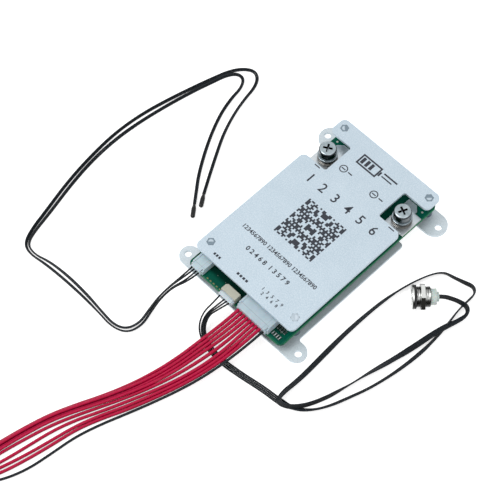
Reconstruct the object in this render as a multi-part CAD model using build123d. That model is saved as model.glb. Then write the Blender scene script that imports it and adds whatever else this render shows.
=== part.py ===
from build123d import *
import math
import os

os.makedirs("parts", exist_ok=True)

# Battery management board: circuit board between an aluminium base plate and a printed cover plate,
# two screw terminals, three wire-to-board connectors, two temperature leads and a push button on a ribbon.
# Frame: +Z up, origin at the centre of the ear hole pattern on the base plate's underside,
# +Y towards the screw terminals, -Y towards the connectors. Millimetres.

# Sheet stack
base_thickness = 1.5
spacer_height = 4.9
board_thickness = 1.6
standoff_height = 6.4
cover_thickness = 1.5
board_bottom = base_thickness + spacer_height
board_top = board_bottom + board_thickness
cover_bottom = board_top + standoff_height
cover_top = cover_bottom + cover_thickness

# Base plate
ear_pitch_x = 75.0
ear_pitch_y = 96.0
ear_hole_diameter = 3.5
overall_width = 83.0
near_ear_radius = 5.2
far_ear_radius = 6.4
base_width = 65.0
base_corner_radius = 1.6
notch_depth = 4.4
notch_length = 12.8
notch_corner_radius = 1.5
base_near = -ear_pitch_y / 2 - near_ear_radius
base_far = ear_pitch_y / 2 + far_ear_radius
notch_far = ear_pitch_y / 2 - far_ear_radius

# Circuit board
board_side_margin = 1.3
board_width = base_width - 2 * board_side_margin
board_far_margin = 0.9
board_overhang = 0.3
board_near = base_near - board_overhang
board_far = base_far - board_far_margin
board_corner_radius = 2.5

# Cover plate
cover_width = base_width
cover_near = -47.5
cover_far = base_far
cover_corner_radius = 3.0
terminal_notch_depth = 14.7
terminal_notch_near = 25.8
terminal_notch_far = 43.9
notch_inner_radius = 1.2
cover_screw_inset_x = 4.3
cover_screw_inset_near = 6.77
cover_screw_inset_far = 4.4

# Clinch standoffs, spacers and base screws
standoff_hex = 3.9
standoff_barrel = 3.75
standoff_bore = 2.55
standoff_bore_depth = 6.1
spacer_diameter = 5.0
screw_clearance = 0.2
base_screw_diameter = 2.5
base_screw_length = 12.0
base_screw_head = 4.7
base_screw_head_height = 1.1
countersink_clearance = 0.2
base_screw_recess = 0.7

# Screw terminals
terminal_x = 25.0
terminal_y = 34.85
terminal_plate_thickness = 1.0
terminal_plate_inner = 5.7
terminal_plate_outer = 6.2
terminal_plate_near = 6.35
terminal_plate_far = 11.15
terminal_shoulder_x = 2.0
terminal_shoulder_low = 7.15
terminal_shoulder_high = 8.65
terminal_tongue_x = 0.5
post_flange_diameter = 10.2
post_flange_height = 1.0
post_diameter = 8.6
post_height = 2.1
post_spigot_diameter = 6.4
spigot_clearance = 0.1
terminal_screw_diameter = 4.9
thread_clearance = 0.1
terminal_screw_reach = 7.2
flat_washer_diameter = 10.0
flat_washer_thickness = 1.0
flat_washer_bore = 5.3
spring_washer_diameter = 8.8
spring_washer_thickness = 1.4
spring_washer_bore = 5.2
spring_washer_split = 0.8
spring_washer_split_turn = 145.0
spring_washer_split_tilt = 25.0
screw_head_diameter = 8.8
screw_head_height = 3.6
screw_head_round = 1.1
recess_span = 4.8
recess_arm = 1.15
recess_depth = 2.2
recess_taper = 9.0
recess_turn_left = 58.0
recess_turn_right = 24.0
plate_top = board_top + terminal_plate_thickness
flange_top = plate_top + post_flange_height
post_top = flange_top + post_height
flat_washer_top = post_top + flat_washer_thickness
spring_washer_top = flat_washer_top + spring_washer_thickness

# Wire-to-board connectors
mating_clearance = 0.05
contact_size = 0.5
connector_front = -54.6
balance_count = 9
balance_pitch = 2.0
balance_center = 12.85
balance_header_width = 19.9
balance_height = 4.9
sensor_count = 4
sensor_pitch = 1.5
sensor_center = -24.85
sensor_header_width = 7.6
sensor_height = 4.0
connector_wall = 1.0
connector_floor = 0.8
connector_rear = -44.8
connector_cavity_end = -46.6
header_front_setback = 1.2
plug_front_lip = 0.5
button_connector_count = 5
button_connector_pitch = 1.5
button_connector_center = -3.85
button_header_width = 9.1
button_header_near = -53.2
button_header_far = -49.1
button_header_height = 4.0
button_header_wall = 0.6
button_header_chamfer = 0.9
button_plug_front = -55.6
button_plug_width = 7.7
button_plug_height = 3.0
button_plug_drop = 1.0
wire_hole_height = 2.0

# Cord sizes
balance_wire_diameter = 1.3
sensor_lead_diameter = 1.27
ribbon_tube_diameter = 1.7
bundle_pitch = 1.4
bundle_rise = 1.25
floor_gap = 0.05

# Push button, lying on its flange and nut with its axis level
button_flange_diameter = 12.0
button_flange_thickness = 1.3
button_flange_chamfer = 0.35
button_barrel_diameter = 9.9
button_barrel_end = 8.9
button_gasket_diameter = 11.4
button_gasket_thickness = 0.9
button_nut_flats = 12.0
button_nut_start = 4.2
button_nut_thickness = 2.1
button_cap_diameter = 7.9
button_cap_thickness = 1.8
button_cap_proud = 0.2
button_cap_clearance = 0.1
button_travel = 1.5
button_stem_diameter = 3.0
button_stem_end = 7.4
button_stem_clearance = 0.15
button_step = 5.0
button_web_thickness = 1.2
button_rear_bore = 7.2
button_insert_clearance = 0.05
button_block_diameter = 7.8
button_block_length = 2.8
button_tail_diameter = 4.8
button_tail_length = 1.2
button_cable_run = 4.2
button_spring_diameter = 5.6
button_spring_wire = 0.36
button_spring_turns = 3
button_front = (55.6, 9.1)
button_heading = 45.9

# Temperature sensor beads
bead_diameter = 2.35
bead_length = 7.7
bead_neck_length = 2.4

# Put-away coil of the balance wires
neck_x = -24.0
neck_end = -207.0
coil_y = -212.0
coil_radius = 26.0
coil_turn_step = 8.8
coil_tail_angle = 70.0
neck_lift = 1.0
coil_margin = 0.05
tie_strap_width = 2.4
tie_strap_thickness = 0.9
tie_head_height = 2.2
tie_head_width = 3.4
tie_clearance = 0.05
tie_position = -209.6

# Pieces under the cover and under the board
transistor_length = 6.6
transistor_width = 6.1
transistor_height = 2.3
transistor_pitch_x = 8.4
transistor_pitch_y = 13.0
transistor_columns = 6
transistor_rows = 2
transistor_center_y = 8.0
transistor_tab_length = 2.6
transistor_tab_thickness = 0.6
pad_margin = 2.0
shunt_length = 12.0
shunt_width = 4.0
shunt_height = 1.4
shunt_feet = 2.5
shunt_gap = 0.6
shunt_places = [(0.0, 31.0), (0.0, 36.5)]
transistor_tab_inset = 0.6
transistor_lead_offset = 2.3
transistor_lead_width = 0.8
transistor_chamfer = 0.3
controller_place = (-9.0, -22.0)
controller_size = 7.0
monitor_place = (12.0, -20.0)
monitor_size = 9.0
chip_height = 1.5
chip_lead_reach = 1.0
chip_lead_count = 10
chip_lead_thickness = 0.25
chip_lift = 0.1
module_place = (-20.0, 6.0)
module_width = 12.0
module_length = 16.0
module_carrier = 0.8
module_can_inset = 1.0
module_can_near = 6.5
module_can_far = 4.0
module_can_top = 2.4
antenna_offset = 6.4
antenna_width = 9.0
antenna_length = 1.8
antenna_trace = 0.6
antenna_thickness = 0.1
inductor_place = (20.0, 6.0)
inductor_size = 7.0
inductor_height = 3.6
inductor_corner = 1.0
inductor_groove = 0.9
inductor_core = 5.0
inductor_groove_outer = 6.2
capacitor_places = [(10.0, -6.0), (16.5, -6.0), (23.0, -6.0)]
capacitor_base = 5.2
capacitor_base_height = 0.8
capacitor_diameter = 5.0
capacitor_height = 5.4
capacitor_round = 0.4
small_chip = (2.0, 0.9, 0.6)
large_chip = (3.2, 1.6, 0.6)
corner_chips = [(24.0 + 1.4 * i, -50.8) for i in range(4)]
edge_chips = [(23.9 + 1.4 * i, -47.0) for i in range(4)]
balance_resistors = [(-2.0 + 4.2 * (i % 5), -36.5 + 4.6 * (i // 5)) for i in range(10)]

screw_x = cover_width / 2 - cover_screw_inset_x
screw_near_y = cover_near + cover_screw_inset_near
screw_far_y = cover_far - cover_screw_inset_far
screw_places = [(x, y) for y in (screw_near_y, screw_far_y) for x in (-screw_x, screw_x)]
screw_hole = base_screw_diameter + screw_clearance


def save(name, shape):
    export_step(shape, f"parts/{name}.step")


def group(solids):
    return Compound(children=list(solids))


def disc(diameter, bottom, top, x=0.0, y=0.0):
    return Pos(x, y, (bottom + top) / 2) * Cylinder(diameter / 2, top - bottom)


def block(x0, x1, y0, y1, z0, z1):
    return Pos((x0 + x1) / 2, (y0 + y1) / 2, (z0 + z1) / 2) * Box(x1 - x0, y1 - y0, z1 - z0)


def flat_rect(x0, x1, y0, y1):
    return Pos((x0 + x1) / 2, (y0 + y1) / 2) * Rectangle(x1 - x0, y1 - y0)


def vertices_near(sketch, places, reach=0.6):
    return [v for v in sketch.vertices() if any(math.hypot(v.X - x, v.Y - y) < reach for x, y in places)]


# Base plate: one flat sheet with four ears, two side notches and four countersunk holes from below
def base_plate():
    half = base_width / 2
    near_x = overall_width / 2 - near_ear_radius
    far_x = overall_width / 2 - far_ear_radius
    near_y = -ear_pitch_y / 2
    far_y = ear_pitch_y / 2
    sheet = flat_rect(-half, half, base_near, base_far)
    sheet += flat_rect(-near_x, near_x, near_y - near_ear_radius, near_y + near_ear_radius)
    sheet += flat_rect(-far_x, far_x, far_y - far_ear_radius, far_y + far_ear_radius)
    for side in (-1, 1):
        sheet += Pos(side * near_x, near_y) * Circle(near_ear_radius)
        sheet += Pos(side * far_x, far_y) * Circle(far_ear_radius)
    inner = half - notch_depth
    for side in (-1, 1):
        cut = flat_rect(min(side * inner, side * (half + 0.01)), max(side * inner, side * (half + 0.01)),
                        notch_far - notch_length, notch_far)
        sheet -= cut
    ends = [(side * inner, y) for side in (-1, 1) for y in (notch_far - notch_length, notch_far)]
    sheet = fillet(vertices_near(sheet, ends), notch_corner_radius)
    ear_roots = [(side * half, near_y + near_ear_radius) for side in (-1, 1)]
    sheet = fillet(vertices_near(sheet, ear_roots), base_corner_radius)
    lips = [(side * half, notch_far - notch_length) for side in (-1, 1)]
    sheet = fillet(vertices_near(sheet, lips), base_corner_radius)
    plate = extrude(sheet, base_thickness)
    for x in (-ear_pitch_x / 2, ear_pitch_x / 2):
        for y in (near_y, far_y):
            plate -= disc(ear_hole_diameter, -1, base_thickness + 1, x, y)
    for x, y in screw_places:
        plate -= disc(screw_hole, -1, base_thickness + 1, x, y)
        cone = Cone((base_screw_head + countersink_clearance) / 2, screw_hole / 2, base_screw_head_height)
        plate -= Pos(x, y, base_screw_head_height / 2) * cone
    return plate


def circuit_board():
    half = board_width / 2
    sheet = flat_rect(-half, half, board_near, board_far)
    sheet = fillet(sheet.vertices(), board_corner_radius)
    plate = extrude(Pos(0, 0, board_bottom) * sheet, board_thickness)
    for x, y in screw_places:
        plate -= disc(screw_hole, board_bottom - 1, board_top + 1, x, y)
    for side in (-1, 1):
        hole = post_spigot_diameter + spigot_clearance
        plate -= disc(hole, board_bottom - 1, board_top + 1, side * terminal_x, terminal_y)
    return plate


def cover_plate():
    half = cover_width / 2
    sheet = flat_rect(-half, half, cover_near, cover_far)
    sheet = fillet(sheet.vertices(), cover_corner_radius)
    inner = half - terminal_notch_depth
    for side in (-1, 1):
        xs = sorted((side * inner, side * (half + 1)))
        sheet -= flat_rect(xs[0], xs[1], terminal_notch_near, terminal_notch_far)
    inside = [(side * inner, y) for side in (-1, 1) for y in (terminal_notch_near, terminal_notch_far)]
    sheet = fillet(vertices_near(sheet, inside), notch_inner_radius)
    lips = [(side * half, y) for side in (-1, 1) for y in (terminal_notch_near, terminal_notch_far)]
    sheet = fillet(vertices_near(sheet, lips), cover_corner_radius)
    plate = extrude(Pos(0, 0, cover_bottom) * sheet, cover_thickness)
    for x, y in screw_places:
        plate -= hex_bar(standoff_hex, cover_bottom - 1, cover_top + 1, x, y)
    return plate


def hex_bar(flats, bottom, top, x, y):
    outline = RegularPolygon(flats / math.sqrt(3), 6, rotation=button_heading)
    return extrude(Pos(x, y, bottom) * outline, top - bottom)


# A hexagonal head pressed flush into the cover, with a round barrel that stands on the board
def cover_standoff(x, y):
    body = hex_bar(standoff_hex, cover_bottom, cover_top, x, y)
    body += disc(standoff_barrel, board_top, cover_bottom, x, y)
    return body - disc(standoff_bore, board_top - 1, board_top + standoff_bore_depth, x, y)


def board_spacer(x, y):
    tube = disc(spacer_diameter, base_thickness, board_bottom, x, y)
    return tube - disc(screw_hole, base_thickness - 1, board_bottom + 1, x, y)


def base_screw(x, y):
    head = Pos(x, y, base_screw_head_height / 2) * Cone(base_screw_head / 2, base_screw_diameter / 2,
                                                        base_screw_head_height)
    screw = head + disc(base_screw_diameter, 0, base_screw_length, x, y)
    return screw - cross_recess(x, y, 0, -1, base_screw_head / 2, base_screw_recess, base_screw_recess, 0)


# A tapered cross recess cut into a level face, downwards (direction 1) or upwards (direction -1)
def cross_recess(x, y, face, direction, span, arm, depth, turn):
    bar = Rectangle(span, arm) + Rectangle(arm, span)
    plane = Plane(origin=(x, y, face), z_dir=(0, 0, -direction))
    return extrude(plane * Rot(0, 0, turn) * bar, depth, taper=recess_taper)


# Tin-plated terminal plate with a tongue towards the middle of the board
def terminal_plate(side):
    x_in = terminal_x - terminal_plate_inner
    x_out = terminal_x + terminal_plate_outer
    near = terminal_y - terminal_plate_near
    far = terminal_y + terminal_plate_far
    outline = [
        (x_in, near),
        (x_out, near),
        (x_out, terminal_y + terminal_shoulder_low),
        (terminal_x + terminal_shoulder_x, terminal_y + terminal_shoulder_low),
        (terminal_x + terminal_shoulder_x, terminal_y + terminal_shoulder_high),
        (terminal_x - terminal_tongue_x, far),
        (x_in, far),
    ]
    points = [(side * x, y) for x, y in outline]
    sheet = make_face(Polyline(points, close=True))
    plate = extrude(Pos(0, 0, board_top) * sheet, terminal_plate_thickness, dir=(0, 0, 1))
    hole = post_spigot_diameter + spigot_clearance
    return plate - disc(hole, board_top - 1, plate_top + 1, side * terminal_x, terminal_y)


# Threaded post: spigot soldered through plate and board, flange on the plate, pillar above it
def terminal_post(side):
    x = side * terminal_x
    post = disc(post_spigot_diameter, board_bottom, plate_top, x, terminal_y)
    post += disc(post_flange_diameter, plate_top, flange_top, x, terminal_y)
    post += disc(post_diameter, flange_top, post_top, x, terminal_y)
    bore = terminal_screw_diameter + thread_clearance
    return post - disc(bore, board_bottom - 1, post_top + 1, x, terminal_y)


def flat_washer(side):
    x = side * terminal_x
    ring = disc(flat_washer_diameter, post_top, flat_washer_top, x, terminal_y)
    return ring - disc(flat_washer_bore, post_top - 1, flat_washer_top + 1, x, terminal_y)


def spring_washer(side):
    x = side * terminal_x
    ring = disc(spring_washer_diameter, flat_washer_top, spring_washer_top, x, terminal_y)
    ring -= disc(spring_washer_bore, flat_washer_top - 1, spring_washer_top + 1, x, terminal_y)
    cut = Box(spring_washer_diameter, spring_washer_split, spring_washer_thickness * 3)
    cut = Pos(spring_washer_diameter / 2, 0, 0) * Rot(spring_washer_split_tilt, 0, 0) * cut
    middle = (flat_washer_top + spring_washer_top) / 2
    return ring - Pos(x, terminal_y, middle) * Rot(0, 0, side * spring_washer_split_turn) * cut


def terminal_screw(side):
    x = side * terminal_x
    top = spring_washer_top + screw_head_height
    head = disc(screw_head_diameter, spring_washer_top, top, x, terminal_y)
    head = fillet(head.edges().sort_by(Axis.Z)[-1], screw_head_round)
    screw = head + disc(terminal_screw_diameter, spring_washer_top - terminal_screw_reach, spring_washer_top,
                        x, terminal_y)
    turn = recess_turn_left if side < 0 else recess_turn_right
    return screw - cross_recess(x, terminal_y, top, 1, recess_span, recess_arm, recess_depth, turn)


def pin_places(center, count, pitch):
    return [center + (i - (count - 1) / 2) * pitch for i in range(count)]


# Side-entry header with an open top between two cheeks and a row of square pins
def side_header(center, count, pitch, width, height):
    left = center - width / 2
    right = center + width / 2
    front = connector_front + header_front_setback
    top = board_top + height
    body = block(left, right, front, connector_rear, board_top, top)
    body -= block(left + connector_wall, right - connector_wall, front - 1, connector_cavity_end,
                  board_top + connector_floor, top + 1)
    for x0, x1 in ((left, left + connector_wall), (right - connector_wall, right)):
        body -= block(x0 - 0.01, x1 + 0.01, front - 1, front + connector_wall, top - connector_wall, top + 1)
    pin_z = board_top + wire_hole_height
    reach = front + header_front_setback
    for x in pin_places(center, count, pitch):
        body += block(x - contact_size / 2, x + contact_size / 2, reach, connector_cavity_end + 0.5,
                      pin_z - contact_size / 2, pin_z + contact_size / 2)
    return body


# Plug that fills the header's cavity, with a socket for each pin and a round entry for each wire
def side_plug(center, count, pitch, width, height):
    left = center - width / 2 + connector_wall + mating_clearance
    right = center + width / 2 - connector_wall - mating_clearance
    bottom = board_top + connector_floor + mating_clearance
    top = board_top + height - 0.2
    back = connector_cavity_end - mating_clearance
    body = block(left, right, connector_front, back, bottom, top)
    lip = block(left - plug_front_lip, right + plug_front_lip, connector_front,
                connector_front + header_front_setback - 0.1, bottom, top - 2 * plug_front_lip)
    body += lip
    pin_z = board_top + wire_hole_height
    socket = contact_size / 2 + mating_clearance
    reach = connector_front + 2 * header_front_setback - 0.2
    for x in pin_places(center, count, pitch):
        body -= block(x - socket, x + socket, reach, back + 1, pin_z - socket, pin_z + socket)
    return body


# Low beige header near the board's edge, open towards the wires
def button_header():
    left = button_connector_center - button_header_width / 2
    right = button_connector_center + button_header_width / 2
    top = board_top + button_header_height
    body = block(left, right, button_header_near, button_header_far, board_top, top)
    upright = body.edges().filter_by(Axis.Z)
    corner = min(upright, key=lambda edge: edge.center().X - edge.center().Y)
    body = chamfer(corner, button_header_chamfer)
    plug_left = button_connector_center - button_plug_width / 2 - mating_clearance
    plug_right = button_connector_center + button_plug_width / 2 + mating_clearance
    cavity_back = button_header_far - button_header_wall
    cavity_bottom = board_top + button_header_wall - mating_clearance
    cavity_top = top - button_plug_drop + button_header_wall
    body -= block(plug_left, plug_right, button_header_near - 1, cavity_back, cavity_bottom, cavity_top)
    pin_z = board_top + wire_hole_height
    for x in pin_places(button_connector_center, button_connector_count, button_connector_pitch):
        body += block(x - contact_size / 2, x + contact_size / 2, button_header_near + 0.8, cavity_back + 0.3,
                      pin_z - contact_size / 2, pin_z + contact_size / 2)
    return body


def button_plug():
    left = button_connector_center - button_plug_width / 2
    right = button_connector_center + button_plug_width / 2
    bottom = board_top + button_header_wall
    back = button_header_far - button_header_wall - mating_clearance
    body = block(left, right, button_plug_front, back, bottom, board_top + button_plug_height)
    wing = button_header_wall
    body += block(left - wing, right + wing, button_plug_front + 0.6, button_header_near - 0.1,
                  bottom, board_top + button_plug_height - wing)
    pin_z = board_top + wire_hole_height
    socket = contact_size / 2 + mating_clearance
    reach = button_header_near + contact_size
    for x in pin_places(button_connector_center, button_connector_count, button_connector_pitch):
        body -= block(x - socket, x + socket, reach, back + 1, pin_z - socket, pin_z + socket)
    return body


# The push button's axis runs level from its front face towards its rear
def button_plane(distance):
    angle = math.radians(button_heading)
    x = button_front[0] + distance * math.cos(angle)
    y = button_front[1] + distance * math.sin(angle)
    return Plane(origin=(x, y, button_flange_diameter / 2), x_dir=(math.sin(angle), -math.cos(angle), 0),
                 z_dir=(math.cos(angle), math.sin(angle), 0))


def button_disc(diameter, start, end):
    return extrude(button_plane(start) * Circle(diameter / 2), end - start)


def button_body():
    flange = button_disc(button_flange_diameter, 0, button_flange_thickness)
    flange = chamfer(flange.edges().filter_by(GeomType.CIRCLE), button_flange_chamfer)
    body = flange + button_disc(button_barrel_diameter, button_flange_thickness, button_barrel_end)
    body -= button_disc(button_cap_diameter + 2 * button_cap_clearance, -1, button_step)
    web_end = button_step + button_web_thickness
    body -= button_disc(button_stem_diameter + 2 * button_stem_clearance, button_step - 1, web_end + 1)
    return body - button_disc(button_rear_bore, web_end, button_barrel_end + 1)


def button_cap():
    front = -button_cap_proud
    disc_end = front + button_cap_thickness
    cap = button_disc(button_cap_diameter, front, disc_end)
    first = cap.edges().filter_by(GeomType.CIRCLE).sort_by(Axis((0, 0, 0), button_plane(0).z_dir))[0]
    cap = fillet(first, 0.3)
    return cap + button_disc(button_stem_diameter, disc_end, button_stem_end)


# The return spring at its pressed height, seated on the step inside the body
def button_spring():
    pitch = button_spring_wire * 1.25
    height = pitch * button_spring_turns
    start = button_step - button_spring_wire / 2 - 0.02 - height
    path = Helix(pitch, height, button_spring_diameter / 2 - button_spring_wire / 2)
    section = Plane(origin=path @ 0, z_dir=path % 0) * Circle(button_spring_wire / 2)
    return button_plane(start).location * sweep(section, path, is_frenet=True)


def button_nut():
    plane = button_plane(button_nut_start)
    outline = RegularPolygon(button_nut_flats / math.sqrt(3), 6, rotation=0)
    nut = extrude(plane * outline, button_nut_thickness)
    bore = button_barrel_diameter + thread_clearance
    return nut - button_disc(bore, button_nut_start - 1, button_nut_start + button_nut_thickness + 1)


def button_gasket():
    start = button_flange_thickness
    end = start + button_gasket_thickness
    bore = button_barrel_diameter + thread_clearance
    return button_disc(button_gasket_diameter, start, end) - button_disc(bore, start - 1, end + 1)


# Moulded rear block, plugged into the barrel, with the cable's tail at its end
def button_rear_block():
    web_end = button_step + button_web_thickness
    block_end = button_barrel_end + button_block_length
    body = button_disc(button_rear_bore - 2 * button_insert_clearance, web_end + 0.1, button_barrel_end)
    body += button_disc(button_block_diameter, button_barrel_end, block_end)
    body += button_disc(button_tail_diameter, block_end, block_end + button_tail_length)
    pocket = button_stem_diameter + 2 * button_stem_clearance + 0.3
    return body - button_disc(pocket, web_end, button_stem_end + button_travel + 0.4)


# A flexible lead is a tube of straight runs joined by arcs as large as the runs allow
def corner_radii(points):
    radii = []
    for a, b, c in zip(points, points[1:], points[2:]):
        first = Vector(*b) - Vector(*a)
        second = Vector(*c) - Vector(*b)
        half_turn = math.radians(first.get_angle(second)) / 2
        radii.append(0.45 * min(first.length, second.length) / math.tan(half_turn))
    return radii


def cord_tube(name, points, diameter):
    radii = corner_radii(points)
    path = FilletPolyline(*points, radius=radii)
    tube = sweep(Plane(origin=path @ 0, z_dir=path % 0) * Circle(diameter / 2), path)
    print(f"{name}: length {path.length:.1f}, tightest arc {min(radii):.1f}")
    return tube


# Lead of the first temperature sensor, on the inside of both bends
sensor_route_1 = [
    (-26.35, -54.6, 10.0), (-26.35, -60.4, 10.0), (-28.0, -67.6, 7.6),
    (-28.9, -74.6, 4.6), (-28.3, -81.6, 2.0),
    (-27.7, -88.0, 0.8), (-29.6, -94.6, 0.7), (-34.9, -98.3, 0.7), (-43.0, -98.9, 0.7), (-55.0, -97.6, 0.7),
    (-69.0, -97.1, 0.7), (-81.4, -98.4, 0.7), (-89.6, -100.4, 0.7), (-95.6, -99.2, 0.7), (-98.9, -92.8, 0.7),
    (-102.6, -80.0, 0.7), (-108.4, -62.0, 0.7), (-112.5, -44.0, 0.7),
    (-113.9, -26.0, 0.7), (-112.6, -9.0, 0.7),
    (-109.2, 8.0, 0.7), (-105.7, 22.0, 0.7), (-103.4, 30.8, 0.7), (-101.6, 37.2, 0.7), (-98.0, 41.2, 0.7),
    (-92.8, 41.4, 0.7), (-89.3, 37.2, 0.7), (-88.2, 30.8, 0.7), (-85.0, 19.6, 0.7), (-77.9, 4.2, 0.7),
    (-67.4, -12.9, 0.7), (-60.0, -21.6, 0.9), (-55.6, -26.9, 1.2),
]

# Lead of the second temperature sensor, on the outside of both bends
sensor_route_2 = [
    (-23.35, -54.6, 10.0), (-23.35, -60.6, 10.0), (-26.0, -68.2, 7.6),
    (-27.0, -75.0, 4.6), (-26.4, -81.8, 2.0),
    (-25.8, -88.6, 0.8), (-27.8, -96.2, 0.7), (-34.2, -100.4, 0.7), (-43.2, -100.9, 0.7), (-55.0, -99.7, 0.7),
    (-69.0, -99.6, 0.7), (-82.0, -100.7, 0.7), (-91.0, -102.5, 0.7),
    (-97.6, -100.6, 0.7), (-101.3, -93.2, 0.7),
    (-104.9, -80.2, 0.7), (-110.7, -62.4, 0.7), (-114.5, -44.2, 0.7),
    (-115.8, -26.0, 0.7), (-114.5, -8.6, 0.7),
    (-111.1, 8.4, 0.7), (-107.3, 24.0, 0.7), (-104.6, 33.6, 0.7), (-101.8, 41.0, 0.7), (-98.1, 46.4, 0.7),
    (-92.8, 48.9, 0.7), (-87.9, 46.9, 0.7), (-85.2, 41.6, 0.7), (-83.8, 34.6, 0.7), (-81.0, 24.4, 0.7),
    (-76.2, 11.6, 0.7), (-68.9, -1.0, 0.7), (-61.6, -12.5, 0.9), (-56.6, -19.6, 1.2),
]

# Four-wire ribbon from the button plug, round behind the button, back to a fold and up to the button's tail
ribbon_points = [
    (-3.85, -55.6, 10.0), (-3.85, -60.2, 10.0), (-5.2, -65.6, 7.2), (-3.8, -70.4, 3.8), (0.4, -73.6, 1.4),
    (7.2, -75.4, 0.9), (16.2, -75.7, 0.9), (27.4, -74.1, 0.9), (38.6, -71.9, 0.9), (46.8, -71.1, 0.9),
    (53.4, -69.7, 0.9), (58.6, -66.9, 0.9), (62.9, -62.4, 0.9), (66.4, -56.0, 0.9), (69.4, -47.6, 0.9),
    (73.2, -36.4, 0.9), (76.1, -21.4, 0.9), (77.3, -6.0, 0.9), (76.9, 5.0, 0.9), (75.9, 13.4, 0.9),
    (74.6, 21.2, 0.9), (74.9, 27.6, 0.9), (73.9, 32.6, 0.9), (70.8, 35.7, 0.9), (66.6, 35.9, 0.9),
    (62.2, 34.2, 0.9), (57.2, 30.6, 0.9), (52.6, 25.0, 0.9), (48.9, 15.4, 0.9), (46.6, 3.0, 0.9),
    (45.7, -10.0, 0.9), (45.5, -25.0, 0.9), (45.7, -40.0, 0.9), (46.1, -51.0, 0.9), (46.0, -59.4, 1.7),
    (45.9, -65.2, 2.8), (47.6, -69.9, 2.9), (51.6, -71.0, 2.9), (55.3, -67.8, 2.9), (59.6, -61.2, 2.9),
    (62.9, -52.6, 1.6), (65.1, -43.6, 0.9), (67.5, -31.4, 0.9), (70.7, -17.6, 0.9), (73.1, -5.0, 1.0),
    (75.1, 4.2, 2.8), (76.7, 11.6, 2.9), (78.2, 17.4, 2.4), (78.8, 22.2, 2.6), (77.7, 26.8, 2.9),
    (73.9, 28.6, 3.4), (70.2, 26.0, 5.0),
]

# The ribbon's last straight run lies on the button's axis
def ribbon_route():
    tail_end = button_barrel_end + button_block_length + button_tail_length
    ends = [button_plane(tail_end + reach).origin for reach in (button_cable_run, 0)]
    return ribbon_points + [(end.X, end.Y, end.Z) for end in ends]


# Balance wires, from the plug's first position to its last, as far as their bundle's tie
wire_routes = [
    [(-60.2, 4.85, 10.0), (-68.5, 3.6, 7.6), (-77.2, 2.2, 5.6), (-91.3, 0.2, 3.4), (-104.3, -3.0, 1.6),
     (-116.5, -6.9, 0.8), (-128.0, -11.4, 0.7), (-138.9, -16.4, 0.7), (-150.2, -20.9, 0.7),
     (-162.4, -24.1, 0.7),
     (-175.1, -26.7, 0.7), (-184.6, -28.3, 0.7)],
    [(-60.4, 6.85, 10.0), (-69.5, 5.4, 7.4), (-78.8, 3.9, 5.6), (-92.7, 1.7, 3.6), (-105.5, -1.6, 2.2),
     (-117.2, -5.6, 2.0), (-128.8, -10.4, 1.95), (-139.7, -15.4, 1.95), (-150.8, -20.0, 1.95),
     (-163.2, -23.2, 1.95), (-176.2, -25.7, 1.95), (-185.0, -27.1, 1.95)],
    [(-60.5, 8.85, 10.0), (-70.2, 7.3, 7.4), (-80.2, 5.5, 5.6), (-94.0, 3.1, 3.4), (-106.5, -0.4, 1.6),
     (-117.9, -4.6, 0.8), (-129.3, -9.4, 0.7), (-140.2, -14.5, 0.7), (-151.4, -19.1, 0.7),
     (-163.9, -22.2, 0.7),
     (-176.8, -24.7, 0.7), (-185.4, -25.9, 0.7)],
    [(-60.8, 10.85, 10.0), (-71.0, 9.2, 7.3), (-81.8, 7.1, 5.6), (-95.2, 4.6, 3.6), (-107.4, 0.8, 2.2),
     (-118.8, -3.5, 2.0), (-130.2, -8.3, 1.95), (-141.1, -13.4, 1.95), (-152.3, -17.9, 1.95),
     (-164.8, -21.0, 1.95), (-177.6, -23.5, 1.95), (-185.8, -24.6, 1.95)],
    [(-61.5, 12.85, 10.0), (-72.5, 11.5, 7.2), (-84.0, 9.5, 5.4), (-96.6, 6.2, 3.3), (-108.4, 2.0, 1.6),
     (-119.9, -2.6, 0.8), (-130.9, -7.3, 0.7), (-142.1, -12.2, 0.7), (-153.5, -16.5, 0.7),
     (-165.7, -19.6, 0.7),
     (-178.4, -22.4, 0.7), (-186.2, -23.4, 0.7)],
    [(-62.0, 14.85, 10.0), (-74.0, 14.0, 7.0), (-86.2, 11.9, 5.2), (-98.5, 8.2, 3.2), (-109.8, 3.7, 1.6),
     (-121.3, -1.0, 0.8), (-132.6, -5.6, 0.7), (-143.6, -10.5, 0.7), (-155.6, -14.2, 0.7),
     (-168.6, -16.4, 0.7),
     (-181.7, -19.0, 0.7)],
    [(-62.5, 16.85, 10.0), (-75.0, 15.7, 6.9), (-87.2, 13.4, 5.1), (-99.4, 9.7, 3.2), (-111.2, 5.1, 1.6),
     (-122.8, 0.6, 0.8), (-133.8, -4.2, 0.7), (-145.5, -8.3, 0.7), (-158.0, -10.8, 0.7),
     (-170.6, -13.5, 0.7),
     (-183.0, -16.9, 0.7)],
    [(-62.5, 18.85, 10.0), (-75.5, 17.2, 6.8), (-88.2, 14.8, 5.0), (-100.3, 11.1, 3.2), (-112.2, 6.6, 1.6),
     (-123.8, 2.1, 0.8), (-134.8, -2.8, 0.7), (-146.4, -6.8, 0.7), (-159.0, -8.9, 0.7),
     (-172.2, -11.6, 0.7),
     (-184.6, -14.9, 0.7)],
    [(-62.8, 20.85, 10.0), (-76.0, 18.8, 6.7), (-89.2, 16.3, 5.0), (-101.3, 12.6, 3.2), (-113.3, 8.1, 1.6),
     (-125.1, 3.6, 0.8), (-137.0, -0.9, 0.7), (-149.2, -4.4, 0.7), (-162.0, -5.9, 0.7), (-174.6, -7.7, 0.7),
     (-185.8, -11.8, 0.7)],
]

# The nine wires close up into two rows, five below and four above
gather_places = [(-194.0, 2.3, 0.0), (-199.5, 1.5, 0.8), (neck_end + 3.6, 1.0, 1.0), (neck_end, 1.0, 1.0)]
first_lift = 0.25
second_lift = 0.2


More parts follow.
